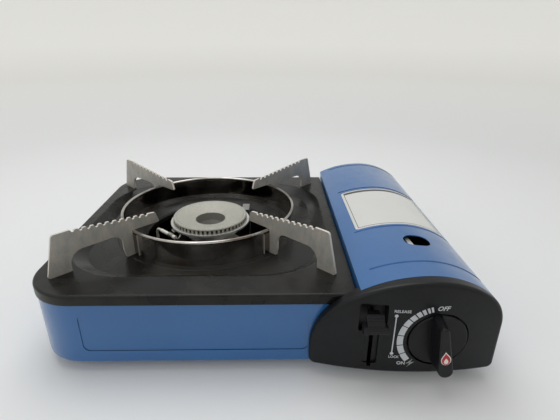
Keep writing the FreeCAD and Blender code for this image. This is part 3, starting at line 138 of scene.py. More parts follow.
# Satin black stove enamel on steel: near black, with a fine pebbled skin and hazy wipe marks that are
# paler and duller than the clean enamel.
stoveEnamel = {"colour": "#0f0f0e", "haze": "#2c2b28", "roughness": 0.24, "ior": 1.5, "specular": 0.24,
               "hazeMm": 38, "hazeShine": 0.05, "hazeDull": 0.16, "grainMm": 0.9, "grainDepth": 0.00005}


def makeStoveEnamel(look):
    material, shader, place = startMaterial("stoveEnamelBlack", look)
    haze = addNode(material, "ShaderNodeTexNoise", {"Vector": place},
                   {"Scale": perMm(look["hazeMm"]), "Detail": 3.0, "Roughness": 0.55})
    share = addNode(material, "ShaderNodeMapRange", {"Value": haze.outputs["Fac"]},
                    {"From Min": 0.42, "From Max": 0.72})
    tone = addNode(material, "ShaderNodeMix", {"Factor": share.outputs["Result"]},
                   {mixA: linear(look["colour"]), mixB: linear(look["haze"])}, data_type="RGBA")
    join(material, tone.outputs[mixOut], shader.inputs["Base Color"])
    dull = addNode(material, "ShaderNodeMapRange", {"Value": haze.outputs["Fac"]},
                   {"From Min": 0.3, "From Max": 0.75, "To Min": look["roughness"] - look["hazeShine"],
                    "To Max": look["roughness"] + look["hazeDull"]})
    join(material, dull.outputs["Result"], shader.inputs["Roughness"])
    grain = addNode(material, "ShaderNodeTexNoise", {"Vector": place},
                    {"Scale": perMm(look["grainMm"]), "Detail": 2.0})
    bump = addNode(material, "ShaderNodeBump", {"Height": grain.outputs["Fac"]},
                   {"Strength": 0.6, "Distance": look["grainDepth"]})
    join(material, bump.outputs["Normal"], shader.inputs["Normal"])
    return material


# Moulded black ABS: the tool's spark-eroded grain makes it semi matt, with a faint bloom of dust.
mouldedAbs = {"colour": "#101113", "bloom": "#1b1c1f", "roughness": 0.34, "ior": 1.54, "specular": 0.22,
              "grainMm": 0.7, "grainDepth": 0.00005, "bloomMm": 22}


def makeMouldedAbs(look):
    material, shader, place = startMaterial("mouldedAbsBlack", look)
    bloom = addNode(material, "ShaderNodeTexNoise", {"Vector": place},
                    {"Scale": perMm(look["bloomMm"]), "Detail": 6.0, "Roughness": 0.7})
    share = addNode(material, "ShaderNodeMapRange", {"Value": bloom.outputs["Fac"]},
                    {"From Min": 0.4, "From Max": 0.8})
    tone = addNode(material, "ShaderNodeMix", {"Factor": share.outputs["Result"]},
                   {mixA: linear(look["colour"]), mixB: linear(look["bloom"])}, data_type="RGBA")
    join(material, tone.outputs[mixOut], shader.inputs["Base Color"])
    grain = addNode(material, "ShaderNodeTexVoronoi", {"Vector": place},
                    {"Scale": perMm(look["grainMm"])}, feature="SMOOTH_F1")
    bump = addNode(material, "ShaderNodeBump", {"Height": grain.outputs["Distance"]},
                   {"Strength": 0.5, "Distance": look["grainDepth"]})
    join(material, bump.outputs["Normal"], shader.inputs["Normal"])
    return material


# Hot-dip galvanised sheet: zinc crystals a few millimetres across, each a slightly other grey.
galvanised = {"colour": "#9a9c9b", "crystal": "#b4b6b6", "roughness": 0.38, "metallic": 1.0, "spangleMm": 7,
              "spangleShine": 0.08, "spangleDull": 0.12, "grainMm": 1.2, "grainDepth": 0.00003}


def makeGalvanised(look):
    material, shader, place = startMaterial("galvanisedSheet", look)
    spangle = addNode(material, "ShaderNodeTexVoronoi", {"Vector": place},
                      {"Scale": perMm(look["spangleMm"])}, feature="F1")
    tone = addNode(material, "ShaderNodeMix", {"Factor": spangle.outputs["Color"]},
                   {mixA: linear(look["colour"]), mixB: linear(look["crystal"])}, data_type="RGBA")
    join(material, tone.outputs[mixOut], shader.inputs["Base Color"])
    dull = addNode(material, "ShaderNodeMapRange", {"Value": spangle.outputs["Color"]},
                   {"To Min": look["roughness"] - look["spangleShine"],
                    "To Max": look["roughness"] + look["spangleDull"]})
    join(material, dull.outputs["Result"], shader.inputs["Roughness"])
    grain = addNode(material, "ShaderNodeTexNoise", {"Vector": place}, {"Scale": perMm(look["grainMm"])})
    bump = addNode(material, "ShaderNodeBump", {"Height": grain.outputs["Fac"]},
                   {"Strength": 0.3, "Distance": look["grainDepth"]})
    join(material, bump.outputs["Normal"], shader.inputs["Normal"])
    return material


# Punched steel arms with a dull grey heat-proof coat: the flat sides are matt and a little blotchy,
# the punched edges and teeth carry a painted highlight in a paler colour, and the bare tabs welded
# to the ring keep its dark bright-steel mirror.
armCoat = {"colour": "#9c9d98", "blotch": "#bab3aa", "edge": "#dcd6cd", "tab": "#8f8b87", "roughness": 0.48,
           "metallic": 0.30, "blotchMm": 7, "blotchTall": 0.55, "grainMm": 0.8, "grainDepth": 0.00006,
           "grainShine": 0.08, "grainDull": 0.10, "tabR": 0.0803, "tabDeep": 0.0012, "tabPolish": 0.36}
flatFace, punchedEdge = 0.95, 0.6       # how squarely a face looks across the arm


def makeArmCoat(look, middle, ringTop):
    material, shader, place = startMaterial("coatedArmSteel", look)
    upright = addNode(material, "ShaderNodeMapping", {"Vector": place},
                      {"Scale": (1.0, 1.0, look["blotchTall"])})
    blotch = addNode(material, "ShaderNodeTexNoise", {"Vector": upright.outputs[0]},
                     {"Scale": perMm(look["blotchMm"]), "Detail": 7.0, "Roughness": 0.7})
    share = addNode(material, "ShaderNodeMapRange", {"Value": blotch.outputs["Fac"]},
                    {"From Min": 0.34, "From Max": 0.66})
    side = addNode(material, "ShaderNodeMix", {"Factor": share.outputs["Result"]},
                   {mixA: linear(look["colour"]), mixB: linear(look["blotch"])}, data_type="RGBA")
    # the arms run straight out from the ring's middle, so a face that doesn't look square across that
    # line is an edge
    outward = addNode(material, "ShaderNodeVectorMath", {0: place}, {1: middle}, operation="SUBTRACT")
    level = addNode(material, "ShaderNodeVectorMath", {0: outward.outputs[0]}, {1: levelOnly},
                    operation="MULTIPLY")
    along = addNode(material, "ShaderNodeVectorMath", {0: level.outputs[0]}, operation="NORMALIZE")
    facing = addNode(material, "ShaderNodeTexCoord").outputs["Normal"]
    turn = addNode(material, "ShaderNodeVectorMath", {0: along.outputs[0], 1: facing},
                   operation="CROSS_PRODUCT")
    across = addNode(material, "ShaderNodeSeparateXYZ", {0: turn.outputs[0]})
    squareness = addNode(material, "ShaderNodeMath", {0: across.outputs["Z"]}, operation="ABSOLUTE")
    isEdge = addNode(material, "ShaderNodeMapRange", {"Value": squareness.outputs[0]},
                     {"From Min": flatFace, "From Max": punchedEdge})
    # painted highlight: faces along the punched edges are mixed towards the pale edge colour
    tone = addNode(material, "ShaderNodeMix",
                   {"Factor": isEdge.outputs["Result"], mixA: side.outputs[mixOut]},
                   {mixB: linear(look["edge"])}, data_type="RGBA")
    reach = addNode(material, "ShaderNodeVectorMath", {0: level.outputs[0]}, operation="LENGTH")
    atRing = addNode(material, "ShaderNodeMath", {0: reach.outputs["Value"]},
                     {1: look["tabR"], 2: look["tabDeep"]}, operation="COMPARE")
    height = addNode(material, "ShaderNodeSeparateXYZ", {0: place})
    below = addNode(material, "ShaderNodeMath", {0: height.outputs["Z"]}, {1: ringTop},
                    operation="LESS_THAN")
    lowEdge = addNode(material, "ShaderNodeMath", {0: below.outputs[0], 1: isEdge.outputs["Result"]},
                      operation="MULTIPLY")
    isTab = addNode(material, "ShaderNodeMath", {0: atRing.outputs[0], 1: lowEdge.outputs[0]},
                    operation="MULTIPLY")
    tabTone = addNode(material, "ShaderNodeMix", {"Factor": isTab.outputs[0], mixA: tone.outputs[mixOut]},
                      {mixB: linear(look["tab"])}, data_type="RGBA")
    join(material, tabTone.outputs[mixOut], shader.inputs["Base Color"])
    shadeAndBareTab = addNode(material, "ShaderNodeMapRange", {"Value": isTab.outputs[0]},
                   {"To Min": look["metallic"], "To Max": 1.0})
    join(material, shadeAndBareTab.outputs["Result"], shader.inputs["Metallic"])
    grain = addNode(material, "ShaderNodeTexNoise", {"Vector": place},
                    {"Scale": perMm(look["grainMm"]), "Detail": 3.0})
    dull = addNode(material, "ShaderNodeMapRange", {"Value": grain.outputs["Fac"]},
                   {"From Min": 0.3, "From Max": 0.7, "To Min": look["roughness"] - look["grainShine"],
                    "To Max": look["roughness"] + look["grainDull"]})
    smooth = addNode(material, "ShaderNodeMath", {0: isTab.outputs[0]}, {1: look["tabPolish"]},
                     operation="MULTIPLY")
    polish = addNode(material, "ShaderNodeMath", {0: dull.outputs["Result"], 1: smooth.outputs[0]},
                     operation="SUBTRACT")
    join(material, polish.outputs[0], shader.inputs["Roughness"])
    bump = addNode(material, "ShaderNodeBump", {"Height": grain.outputs["Fac"]},
                   {"Strength": 0.5, "Distance": look["grainDepth"]})
    join(material, bump.outputs["Normal"], shader.inputs["Normal"])
    return material


# Bright drawn stainless steel: the flame ring mirrors the black plate, with hair lines round it
# from polishing and a brown heat tint that comes and goes.
brightStainless = {"colour": "#c3bfba", "tint": "#6d645c", "roughness": 0.08, "metallic": 1.0, "tintMm": 45,
                   "lineMm": 0.6, "lineStretch": 0.04, "lineShine": 0.04, "lineDull": 0.10,
                   "lineDepth": 0.00002}


def makeBrightStainless(look):
    material, shader, place = startMaterial("brightStainless", look)
    tinted = addNode(material, "ShaderNodeTexNoise", {"Vector": place},
                     {"Scale": perMm(look["tintMm"]), "Detail": 4.0})
    share = addNode(material, "ShaderNodeMapRange", {"Value": tinted.outputs["Fac"]},
                    {"From Min": 0.42, "From Max": 0.66})
    tone = addNode(material, "ShaderNodeMix", {"Factor": share.outputs["Result"]},
                   {mixA: linear(look["colour"]), mixB: linear(look["tint"])}, data_type="RGBA")
    join(material, tone.outputs[mixOut], shader.inputs["Base Color"])
    squeezed = addNode(material, "ShaderNodeMapping", {"Vector": place},
                       {"Scale": (look["lineStretch"], look["lineStretch"], 1.0)})
    lines = addNode(material, "ShaderNodeTexNoise", {"Vector": squeezed.outputs[0]},
                    {"Scale": perMm(look["lineMm"]), "Detail": 3.0})
    dull = addNode(material, "ShaderNodeMapRange", {"Value": lines.outputs["Fac"]},
                   {"From Min": 0.3, "From Max": 0.7, "To Min": look["roughness"] - look["lineShine"],
                    "To Max": look["roughness"] + look["lineDull"]})
    join(material, dull.outputs["Result"], shader.inputs["Roughness"])
    bump = addNode(material, "ShaderNodeBump", {"Height": lines.outputs["Fac"]},
                   {"Strength": 0.25, "Distance": look["lineDepth"]})
    join(material, bump.outputs["Normal"], shader.inputs["Normal"])
    return material


# Sintered aluminium burner head: pressed powder, so it is matt, pale and full of fine pores. The
# flame soots the flanks of its slots, and its middle hole is made darker as painted shade.
sinteredHead = {"colour": "#a6a59b", "pore": "#5f5e58", "worn": "#bcbab0", "sootAndShade": "#7b7972",
                "roughness": 0.62, "metallic": 0.35, "poreMm": 0.9, "poreDepth": 0.00012, "wornMm": 14,
                "slotR": 0.0346, "holeR": 0.0142}
# Die-cast burner and governor: brighter and smoother than the head, and out of the flame.
# Its upright flanks near the middle and its middle hole get the darker colour as painted shade.
dieCastAlloy = {"colour": "#d0cfca", "pore": "#9a9994", "worn": "#dddcd7", "sootAndShade": "#8a8881",
                "roughness": 0.42, "metallic": 0.65, "poreMm": 1.6, "poreDepth": 0.00012, "wornMm": 14,
                "slotR": 0.020, "holeR": 0.0142}
uprightFlank = 0.4              # a face whose normal rises or falls less than this is a flank


def makeBurnerMetal(name, look, middle):
    material, shader, place = startMaterial(name, look)
    worn = addNode(material, "ShaderNodeTexNoise", {"Vector": place},
                   {"Scale": perMm(look["wornMm"]), "Detail": 5.0, "Roughness": 0.6})
    base = addNode(material, "ShaderNodeMix", {"Factor": worn.outputs["Fac"]},
                   {mixA: linear(look["colour"]), mixB: linear(look["worn"])}, data_type="RGBA")
    pores = addNode(material, "ShaderNodeTexNoise", {"Vector": place},
                    {"Scale": perMm(look["poreMm"]), "Detail": 4.0, "Roughness": 0.7})
    share = addNode(material, "ShaderNodeMapRange", {"Value": pores.outputs["Fac"]},
                    {"From Min": 0.46, "From Max": 0.3})
    tone = addNode(material, "ShaderNodeMix",
                   {"Factor": share.outputs["Result"], mixA: base.outputs[mixOut]},
                   {mixB: linear(look["pore"])}, data_type="RGBA")
    # upright slot flanks (soot on the head) and the middle hole (painted shade) go darker
    outward = addNode(material, "ShaderNodeVectorMath", {0: place}, {1: middle}, operation="SUBTRACT")
    level = addNode(material, "ShaderNodeVectorMath", {0: outward.outputs[0]}, {1: levelOnly},
                    operation="MULTIPLY")
    reach = addNode(material, "ShaderNodeVectorMath", {0: level.outputs[0]}, operation="LENGTH")
    facing = addNode(material, "ShaderNodeTexCoord").outputs["Normal"]
    upward = addNode(material, "ShaderNodeSeparateXYZ", {0: facing})
    flank = addNode(material, "ShaderNodeMath", {0: upward.outputs["Z"]}, {1: 0.0, 2: uprightFlank},
                    operation="COMPARE")
    within = addNode(material, "ShaderNodeMath", {0: reach.outputs["Value"]}, {1: look["slotR"]},
                     operation="LESS_THAN")
    slots = addNode(material, "ShaderNodeMath", {0: flank.outputs[0], 1: within.outputs[0]},
                    operation="MULTIPLY")
    hole = addNode(material, "ShaderNodeMath", {0: reach.outputs["Value"]}, {1: look["holeR"]},
                   operation="LESS_THAN")
    sootAndShadeMask = addNode(material, "ShaderNodeMath", {0: slots.outputs[0], 1: hole.outputs[0]},
                    operation="MAXIMUM")
    dark = addNode(material, "ShaderNodeMix", {"Factor": sootAndShadeMask.outputs[0], mixA: tone.outputs[mixOut]},
                   {mixB: linear(look["sootAndShade"])}, data_type="RGBA")
    join(material, dark.outputs[mixOut], shader.inputs["Base Color"])
    bump = addNode(material, "ShaderNodeBump", {"Height": pores.outputs["Fac"]},
                   {"Strength": 0.7, "Distance": look["poreDepth"]})
    join(material, bump.outputs["Normal"], shader.inputs["Normal"])
    return material


# Plain finishes: one colour that drifts a little and a fine surface grain.
plainLooks = {
    # Zinc plated screws and pins: bright, slightly yellow grey.
    "zincPlatedSteel": {"colour": "#b3b2ad", "other": "#9b9a94", "roughness": 0.28, "metallic": 1.0,
                        "driftMm": 3, "grainMm": 0.4, "depth": 0.00001},
    # Spring strip: bright rolled steel.
    "springSteel": {"colour": "#d9d9d6", "other": "#c6c6c2", "roughness": 0.32, "metallic": 0.75,
                    "driftMm": 9, "grainMm": 0.5, "depth": 0.00001},
    # Pressed aluminium heat plate and drawn pipe: soft, pale, faintly streaked.
    "rolledAluminium": {"colour": "#b9babb", "other": "#a5a6a7", "roughness": 0.34, "metallic": 1.0,
                        "driftMm": 12, "grainMm": 0.6, "depth": 0.00002},
    # Turned brass of the socket, nozzle and spindle: yellow, with fine tool lines.
    "turnedBrass": {"colour": "#c39a4d", "other": "#a98340", "roughness": 0.25, "metallic": 1.0,
                    "driftMm": 5, "grainMm": 0.3, "depth": 0.00001},
    # Unglazed steatite ceramic round the electrode: chalky white, warmed by heat.
    "steatiteCeramic": {"colour": "#efede8", "other": "#e2ddd2", "roughness": 0.6, "driftMm": 4,
                        "grainMm": 0.5, "depth": 0.00002},
    # Silicone jacket of the ignition lead: off-white, soft sheen.
    "siliconeJacket": {"colour": "#d8d5cb", "other": "#c7c3b6", "roughness": 0.42, "driftMm": 9,
                       "grainMm": 0.7, "depth": 0.00001},
    # Nitrile rubber of feet and seal: dead black, matt.
    "nitrileRubber": {"colour": "#1b1b1b", "other": "#252525", "roughness": 0.75, "driftMm": 6,
                      "grainMm": 0.6, "depth": 0.00004},
    # Screen ink on the panel: thin, pale grey white, matt.
    "screenInk": {"colour": "#d3d6da", "other": "#bfc2c6", "roughness": 0.5, "driftMm": 4, "grainMm": 0.4,
                  "depth": 0.00001},
    # Red pad-printing ink of the flame mark.
    "redInk": {"colour": "#c0242b", "other": "#a81c24", "roughness": 0.4, "driftMm": 3, "grainMm": 0.4,
               "depth": 0.00001},
    # White pad-printing ink of the flame mark.
    "whiteInk": {"colour": "#efe9e6", "other": "#e2dad6", "roughness": 0.4, "driftMm": 3, "grainMm": 0.4,
                 "depth": 0.00001},
    # Dark grey band printed on the foil plate.
    "bandInk": {"colour": "#4a474a", "other": "#3d3b3e", "roughness": 0.4, "driftMm": 8, "grainMm": 0.5,
                "depth": 0.00001},
    # Satin polyester foil of the plate on the cover: pale silver grey, half metal.
    "satinFoil": {"colour": "#dededb", "other": "#d6d6d2", "roughness": 0.30, "metallic": 0.1,
                  "driftMm": 30, "grainMm": 0.5, "depth": 0.00001},
}


def makePlain(name, look):
    material, shader, place = startMaterial(name, look)
    drift = addNode(material, "ShaderNodeTexNoise", {"Vector": place},
                    {"Scale": perMm(look["driftMm"]), "Detail": 4.0})
    tone = addNode(material, "ShaderNodeMix", {"Factor": drift.outputs["Fac"]},
                   {mixA: linear(look["colour"]), mixB: linear(look["other"])}, data_type="RGBA")
    join(material, tone.outputs[mixOut], shader.inputs["Base Color"])
    grain = addNode(material, "ShaderNodeTexNoise", {"Vector": place},
                    {"Scale": perMm(look["grainMm"]), "Detail": 2.0})
    bump = addNode(material, "ShaderNodeBump", {"Height": grain.outputs["Fac"]},
                   {"Strength": 0.4, "Distance": look["depth"]})
    join(material, bump.outputs["Normal"], shader.inputs["Normal"])
    return material


ringLow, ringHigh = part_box("trivet_ring")
ringMiddle = tuple((ringLow + ringHigh) / 2)
trayLow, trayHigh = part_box("body_tray")
trayMiddle = tuple((trayLow + trayHigh) / 2)
lidLow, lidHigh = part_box("lid_cover")
lidMiddle = ((lidLow.x + lidHigh.x) / 2, (lidLow.y + lidHigh.y) / 2, lidLow.z)

materials = {name: makePlain(name, look) for name, look in plainLooks.items()}
for made in (makePowderPaint("powderPaintTray", powderPaint, trayMiddle),
             makePowderPaint("powderPaintLid", dict(powderPaint, hiddenY=nothingHidden), lidMiddle),
             makeStoveEnamel(stoveEnamel), makeMouldedAbs(mouldedAbs), makeGalvanised(galvanised),
             makeArmCoat(armCoat, ringMiddle, ringHigh.z), makeBrightStainless(brightStainless),
             makeBurnerMetal("sinteredHead", sinteredHead, ringMiddle),
             makeBurnerMetal("dieCastAlloy", dieCastAlloy, ringMiddle)):
    materials[made.name] = made
print("materials made:", len(materials))

finishes = {
    "powderPaintTray": ["body_tray"],
    "powderPaintLid": ["lid_cover"],
    "stoveEnamelBlack": ["top_plate"],
    "mouldedAbsBlack": ["front_panel", "control_knob", "lever_button", "piezo_igniter"],
    "galvanisedSheet": ["partition_wall", "burner_bracket", "governor_bracket", "lever_bracket",
                        "cartridge_carriage", "lock_lever", "saddle_front", "saddle_rear",
                        "diaphragm_cover", "spindle_cam"],
    "coatedArmSteel": ["arm_front_left", "arm_front_right", "arm_rear_left", "arm_rear_right"],
    "brightStainless": ["trivet_ring"],
    "sinteredHead": ["burner_cap"],
    "dieCastAlloy": ["burner_body", "governor_body"],
    "zincPlatedSteel": ["burner_screws", "bracket_screws", "panel_screws", "lever_pivot_pin",
                        "carriage_studs", "lid_hinge_pins", "drive_pin", "electrode_tip", "electrode_clip"],
    "springSteel": ["lid_spring"],
    "rolledAluminium": ["heat_plate", "gas_pipe"],
    "turnedBrass": ["cartridge_socket", "gas_nozzle", "valve_spindle"],
    "steatiteCeramic": ["electrode_ceramic"],
    "siliconeJacket": ["ignition_lead"],
    "nitrileRubber": ["foot_front_left", "foot_front_right", "foot_rear_left", "foot_rear_right",
                      "socket_seal"],
    "satinFoil": ["lid_label"],
}
for finish, names in finishes.items():
    for name in names:
        slots = nodes[name].data.materials
        slots.clear()
        slots.append(materials[finish])
unfinished = set(nodes) - {name for names in finishes.values() for name in names}
print("nodes without a finish:", sorted(unfinished))


# Printing on the front panel, in millimetres. Its face is a shallow upright cylinder.

panel = {"frontY": -128.0, "middleX": 116.5, "bulgeR": 287.5, "ink": 0.06, "lift": 0.05}
knobFace = {"x": 123.7, "z": 40.6, "y": -142.5, "lean": 9.4}


def panelY(x):
    return panel["frontY"] + panel["bulgeR"] - math.sqrt(panel["bulgeR"] ** 2 - (x - panel["middleX"]) ** 2)


def finishPiece(name, meshes, finish, body, place):
    shape = bmesh.new()
    for mesh in meshes:
        shape.from_mesh(mesh)
    for vertex in shape.verts:
        vertex.co = place(vertex.co)
    bmesh.ops.recalc_face_normals(shape, faces=shape.faces)
    whole = bpy.data.meshes.new(name)
    shape.to_mesh(whole)
    shape.free()
    whole.materials.append(materials[finish])
    piece = bpy.data.objects.new(name, whole)
    bpy.context.scene.collection.objects.link(piece)
    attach(piece, body)
    return piece


def onPanel(point):
    # drawn flat in millimetres, x to the right, y up, z out of the panel
    x, up, out = point
    return Vector((x, panelY(x) - panel["lift"] - out, up)) * mm


# Printed words: middle x and z, height of the capitals, slant, boldness, width
panelWords = {"OFF": (123.6, 66.6, 3.3, 0.25, 0.12, 1.0), "ON": (100.3, 20.0, 2.7, 0.0, 0.08, 1.0),
              "RELEASE": (96.8, 64.1, 2.15, 0.0, 0.04, 1.0), "LOCK": (94.6, 25.4, 2.0, 0.0, 0.04, 0.95)}
capitals = 0.70                 # height of the built-in font's capitals, as a share of its size


def drawnText(text, x, z, height, slant, bold, wide):
    curve = bpy.data.curves.new(text, "FONT")
    curve.body = text
    curve.size = height / capitals
    curve.shear = slant
    curve.offset = bold
    curve.extrude = panel["ink"] / 2
    curve.resolution_u = 4
    curve.align_x = "CENTER"
    curve.align_y = "CENTER"
    holder = bpy.data.objects.new(text, curve)
    mesh = bpy.data.meshes.new_from_object(holder)
    bpy.data.objects.remove(holder)
    mesh.transform(Matrix.Translation((x, z, 0)) @ Matrix.Diagonal((wide, 1, 1, 1)))
    return mesh


def thickened(shape):
    bmesh.ops.solidify(shape, geom=shape.faces[:], thickness=panel["ink"])
    mesh = bpy.data.meshes.new("flat")
    shape.to_mesh(mesh)
    shape.free()
    return mesh


# Blocks round the knob that grow from OFF to the full flame
dial = {"innerR": 24.1, "outerR": 28.3, "stepDegrees": 2,
        "edges": (104.5, 107.5, 109.5, 113.0, 115.5, 120.5, 122.5, 129.5, 131.5, 140.5,
                  142.0, 154.0, 155.5, 171.5, 173.0, 189.5, 191.0, 206.0, 207.5, 222.0)}


def makeDialBlocks():
    meshes = []
    for first, last in zip(dial["edges"][0::2], dial["edges"][1::2]):
        shape = bmesh.new()
        start, end = math.radians(first), math.radians(last)
        ends = [shape.verts.new((math.cos(start) * r, math.sin(start) * r, 0))
                for r in (dial["innerR"], dial["outerR"])]
        edge = shape.edges.new(ends)
        bmesh.ops.spin(shape, geom=[edge, *ends], cent=(0, 0, 0), axis=(0, 0, 1), angle=end - start,
                       steps=max(2, round((last - first) / dial["stepDegrees"])))
        bmesh.ops.translate(shape, verts=shape.verts, vec=(knobFace["x"], knobFace["z"], 0))
        meshes.append(thickened(shape))
    return meshes


# Line with a dot at each end beside the lever's slot, and the spark beside ON
leverLine = {"x": 93.0, "low": 28.4, "high": 60.4, "width": 0.8, "dotR": 1.25}
sparkCorners = ((104.6, 16.8), (106.5, 20.1), (103.7, 19.8), (108.1, 23.9), (106.8, 21.2), (109.6, 21.4))


def makeLeverLine(x, low, high, width, dotR):
    shape = bmesh.new()
    bmesh.ops.create_grid(shape, x_segments=1, y_segments=8, size=0.5)
    bmesh.ops.scale(shape, verts=shape.verts, vec=(width, high - low, 1))
    bmesh.ops.translate(shape, verts=shape.verts, vec=(x, (low + high) / 2, 0))
    for z in (low, high):
        disc = bmesh.ops.create_circle(shape, cap_ends=True, segments=20, radius=dotR)
        bmesh.ops.translate(shape, verts=disc["verts"], vec=(x, z, 0))
    return thickened(shape)


def makeSpark(corners):
    shape = bmesh.new()
    shape.faces.new([shape.verts.new((x, z, 0)) for x, z in corners])
    return thickened(shape)


finishPiece("panelWords", [drawnText(text, *drawn) for text, drawn in panelWords.items()],
            "screenInk", "stove_body", onPanel)
finishPiece("panelDial", makeDialBlocks() + [makeSpark(sparkCorners), makeLeverLine(**leverLine)],
            "screenInk", "stove_body", onPanel)
print("panel printed")


# Flame mark on the flat front of the knob's grip: three flat drops of ink, one on the other. A layer is
# its name, width, height, ink and lift, and a shorter one sinks by a share of what it lacks in height.

flame = {"up": -3.2, "tall": 11.0, "sink": 0.35,
         "corners": ((0.0, 0.5), (0.5, -0.2), (0.0, -0.5), (-0.5, -0.2)),
         "layers": (("flameRim", 6.6, 11.0, "whiteInk", 0.0), ("flameRed", 5.6, 9.8, "redInk", 0.02),
                    ("flameHeart", 2.9, 4.9, "whiteInk", 0.04))}


def flameOutline(width, height):
    curve = bpy.data.curves.new("flame", "CURVE")
    curve.dimensions = "2D"
    curve.fill_mode = "BOTH"
    curve.extrude = panel["ink"] / 2
    curve.resolution_u = 8
    spline = curve.splines.new("BEZIER")
    spline.bezier_points.add(len(flame["corners"]) - 1)
    for point, (x, y) in zip(spline.bezier_points, flame["corners"]):
        point.co = (x * width, y * height, 0)
        point.handle_left_type = point.handle_right_type = "AUTO"
    spline.bezier_points[0].handle_left_type = spline.bezier_points[0].handle_right_type = "VECTOR"
    spline.use_cyclic_u = True
    holder = bpy.data.objects.new("flame", curve)
    mesh = bpy.data.meshes.new_from_object(holder)
    bpy.data.objects.remove(holder)
    return mesh


for name, width, height, finish, lift in flame["layers"]:
    lean = math.radians(knobFace["lean"])
    drop = -(flame["tall"] - height) * flame["sink"]

    def onGrip(point, lift=lift, drop=drop):
        up = flame["up"] + drop + point.y
        return Vector((knobFace["x"] - math.sin(lean) * up + math.cos(lean) * point.x,
                       knobFace["y"] - panel["ink"] / 2 - lift - point.z,
                       knobFace["z"] + math.cos(lean) * up + math.sin(lean) * point.x)) * mm

    finishPiece(name, [flameOutline(width, height)], finish, "knob", onGrip)
print("flame mark printed")


# Foil plate on the cover: a dark band along its rear edge and a thin line round it, both printed.

plate = {"left": 81.3, "right": 156.7, "front": -35.2, "back": 51.2, "inset": 2.2, "band": 4.6,
         "line": 0.45, "lift": 0.05, "acrossStep": 2, "alongStep": 8, "crownX": 116.5, "crownZ": 16.1,
         "crownR": 70.0, "haunchZ": 27.1, "haunchA": 80.5, "haunchB": 59.0}


def coverZ(x):
    away = x - plate["crownX"]
    if away > 0:
        return plate["crownZ"] + math.sqrt(plate["crownR"] ** 2 - away ** 2)
    return plate["haunchZ"] + plate["haunchB"] * math.sqrt(1 - (away / plate["haunchA"]) ** 2)


def onCover(point):
    x, y, out = point
    return Vector((x, y, coverZ(x) + plate["lift"] + out)) * mm


def strip(x0, x1, y0, y1):
    # cut finely enough across the cover to follow its curve
    shape = bmesh.new()
    bmesh.ops.create_grid(shape, x_segments=max(1, round((x1 - x0) / plate["acrossStep"])),
                          y_segments=max(1, round((y1 - y0) / plate["alongStep"])), size=0.5)
    bmesh.ops.scale(shape, verts=shape.verts, vec=(x1 - x0, y1 - y0, 1))
    bmesh.ops.translate(shape, verts=shape.verts, vec=((x0 + x1) / 2, (y0 + y1) / 2, 0))
    return thickened(shape)


left, right = plate["left"] + plate["inset"], plate["right"] - plate["inset"]
front, back = plate["front"] + plate["inset"], plate["back"] - plate["inset"]
line, bandFront = plate["line"], back - plate["band"]
finishPiece("plateBand", [strip(left, right, bandFront, back)], "bandInk", "lid", onCover)
finishPiece("plateLine", [strip(left, right, front, front + line),
                          strip(left, left + line, front + line, bandFront),
                          strip(right - line, right, front + line, bandFront)], "bandInk", "lid", onCover)
print("cover plate printed")


# Floor, wall, light and camera, in metres

studio = {"floor": "#e9eaea", "wall": "#dbdad6", "high": "#a3a5a4", "sky": "#f2f3f2", "roughness": 0.8,
          "flatR": 0.75, "bendR": 0.40, "height": 0.25, "bendSteps": 24, "roundSteps": 96, "merge": 0.0001,
          "wallFrom": 0.12, "wallTo": 0.42, "highFrom": 0.80, "glow": 0.30, "floorGlow": 0.05,
          "glowFrom": 0.20, "skyStrength": 0.52, "skySeen": 0.78}
lamps = {"keyLamp": {"power": 6.0, "size": 0.9, "place": (-0.12, 0.22, 1.10), "aim": (0, 0, 0.05)},
         "fillLamp": {"power": 2.6, "size": 0.8, "place": (-0.75, -0.85, 0.60), "aim": (0, 0, 0.04)}}


def seenItself(material):
    # 1 where the camera, metal or glass sees the background itself, so its extra glow lights nothing
    path = addNode(material, "ShaderNodeLightPath")
    mirrored = addNode(material, "ShaderNodeMath", {0: path.outputs["Is Glossy Ray"],
                                                    1: path.outputs["Is Transmission Ray"]},
                       operation="MAXIMUM")
    seen = addNode(material, "ShaderNodeMath", {0: path.outputs["Is Camera Ray"], 1: mirrored.outputs[0]},
                   operation="MAXIMUM")
    return seen.outputs[0]


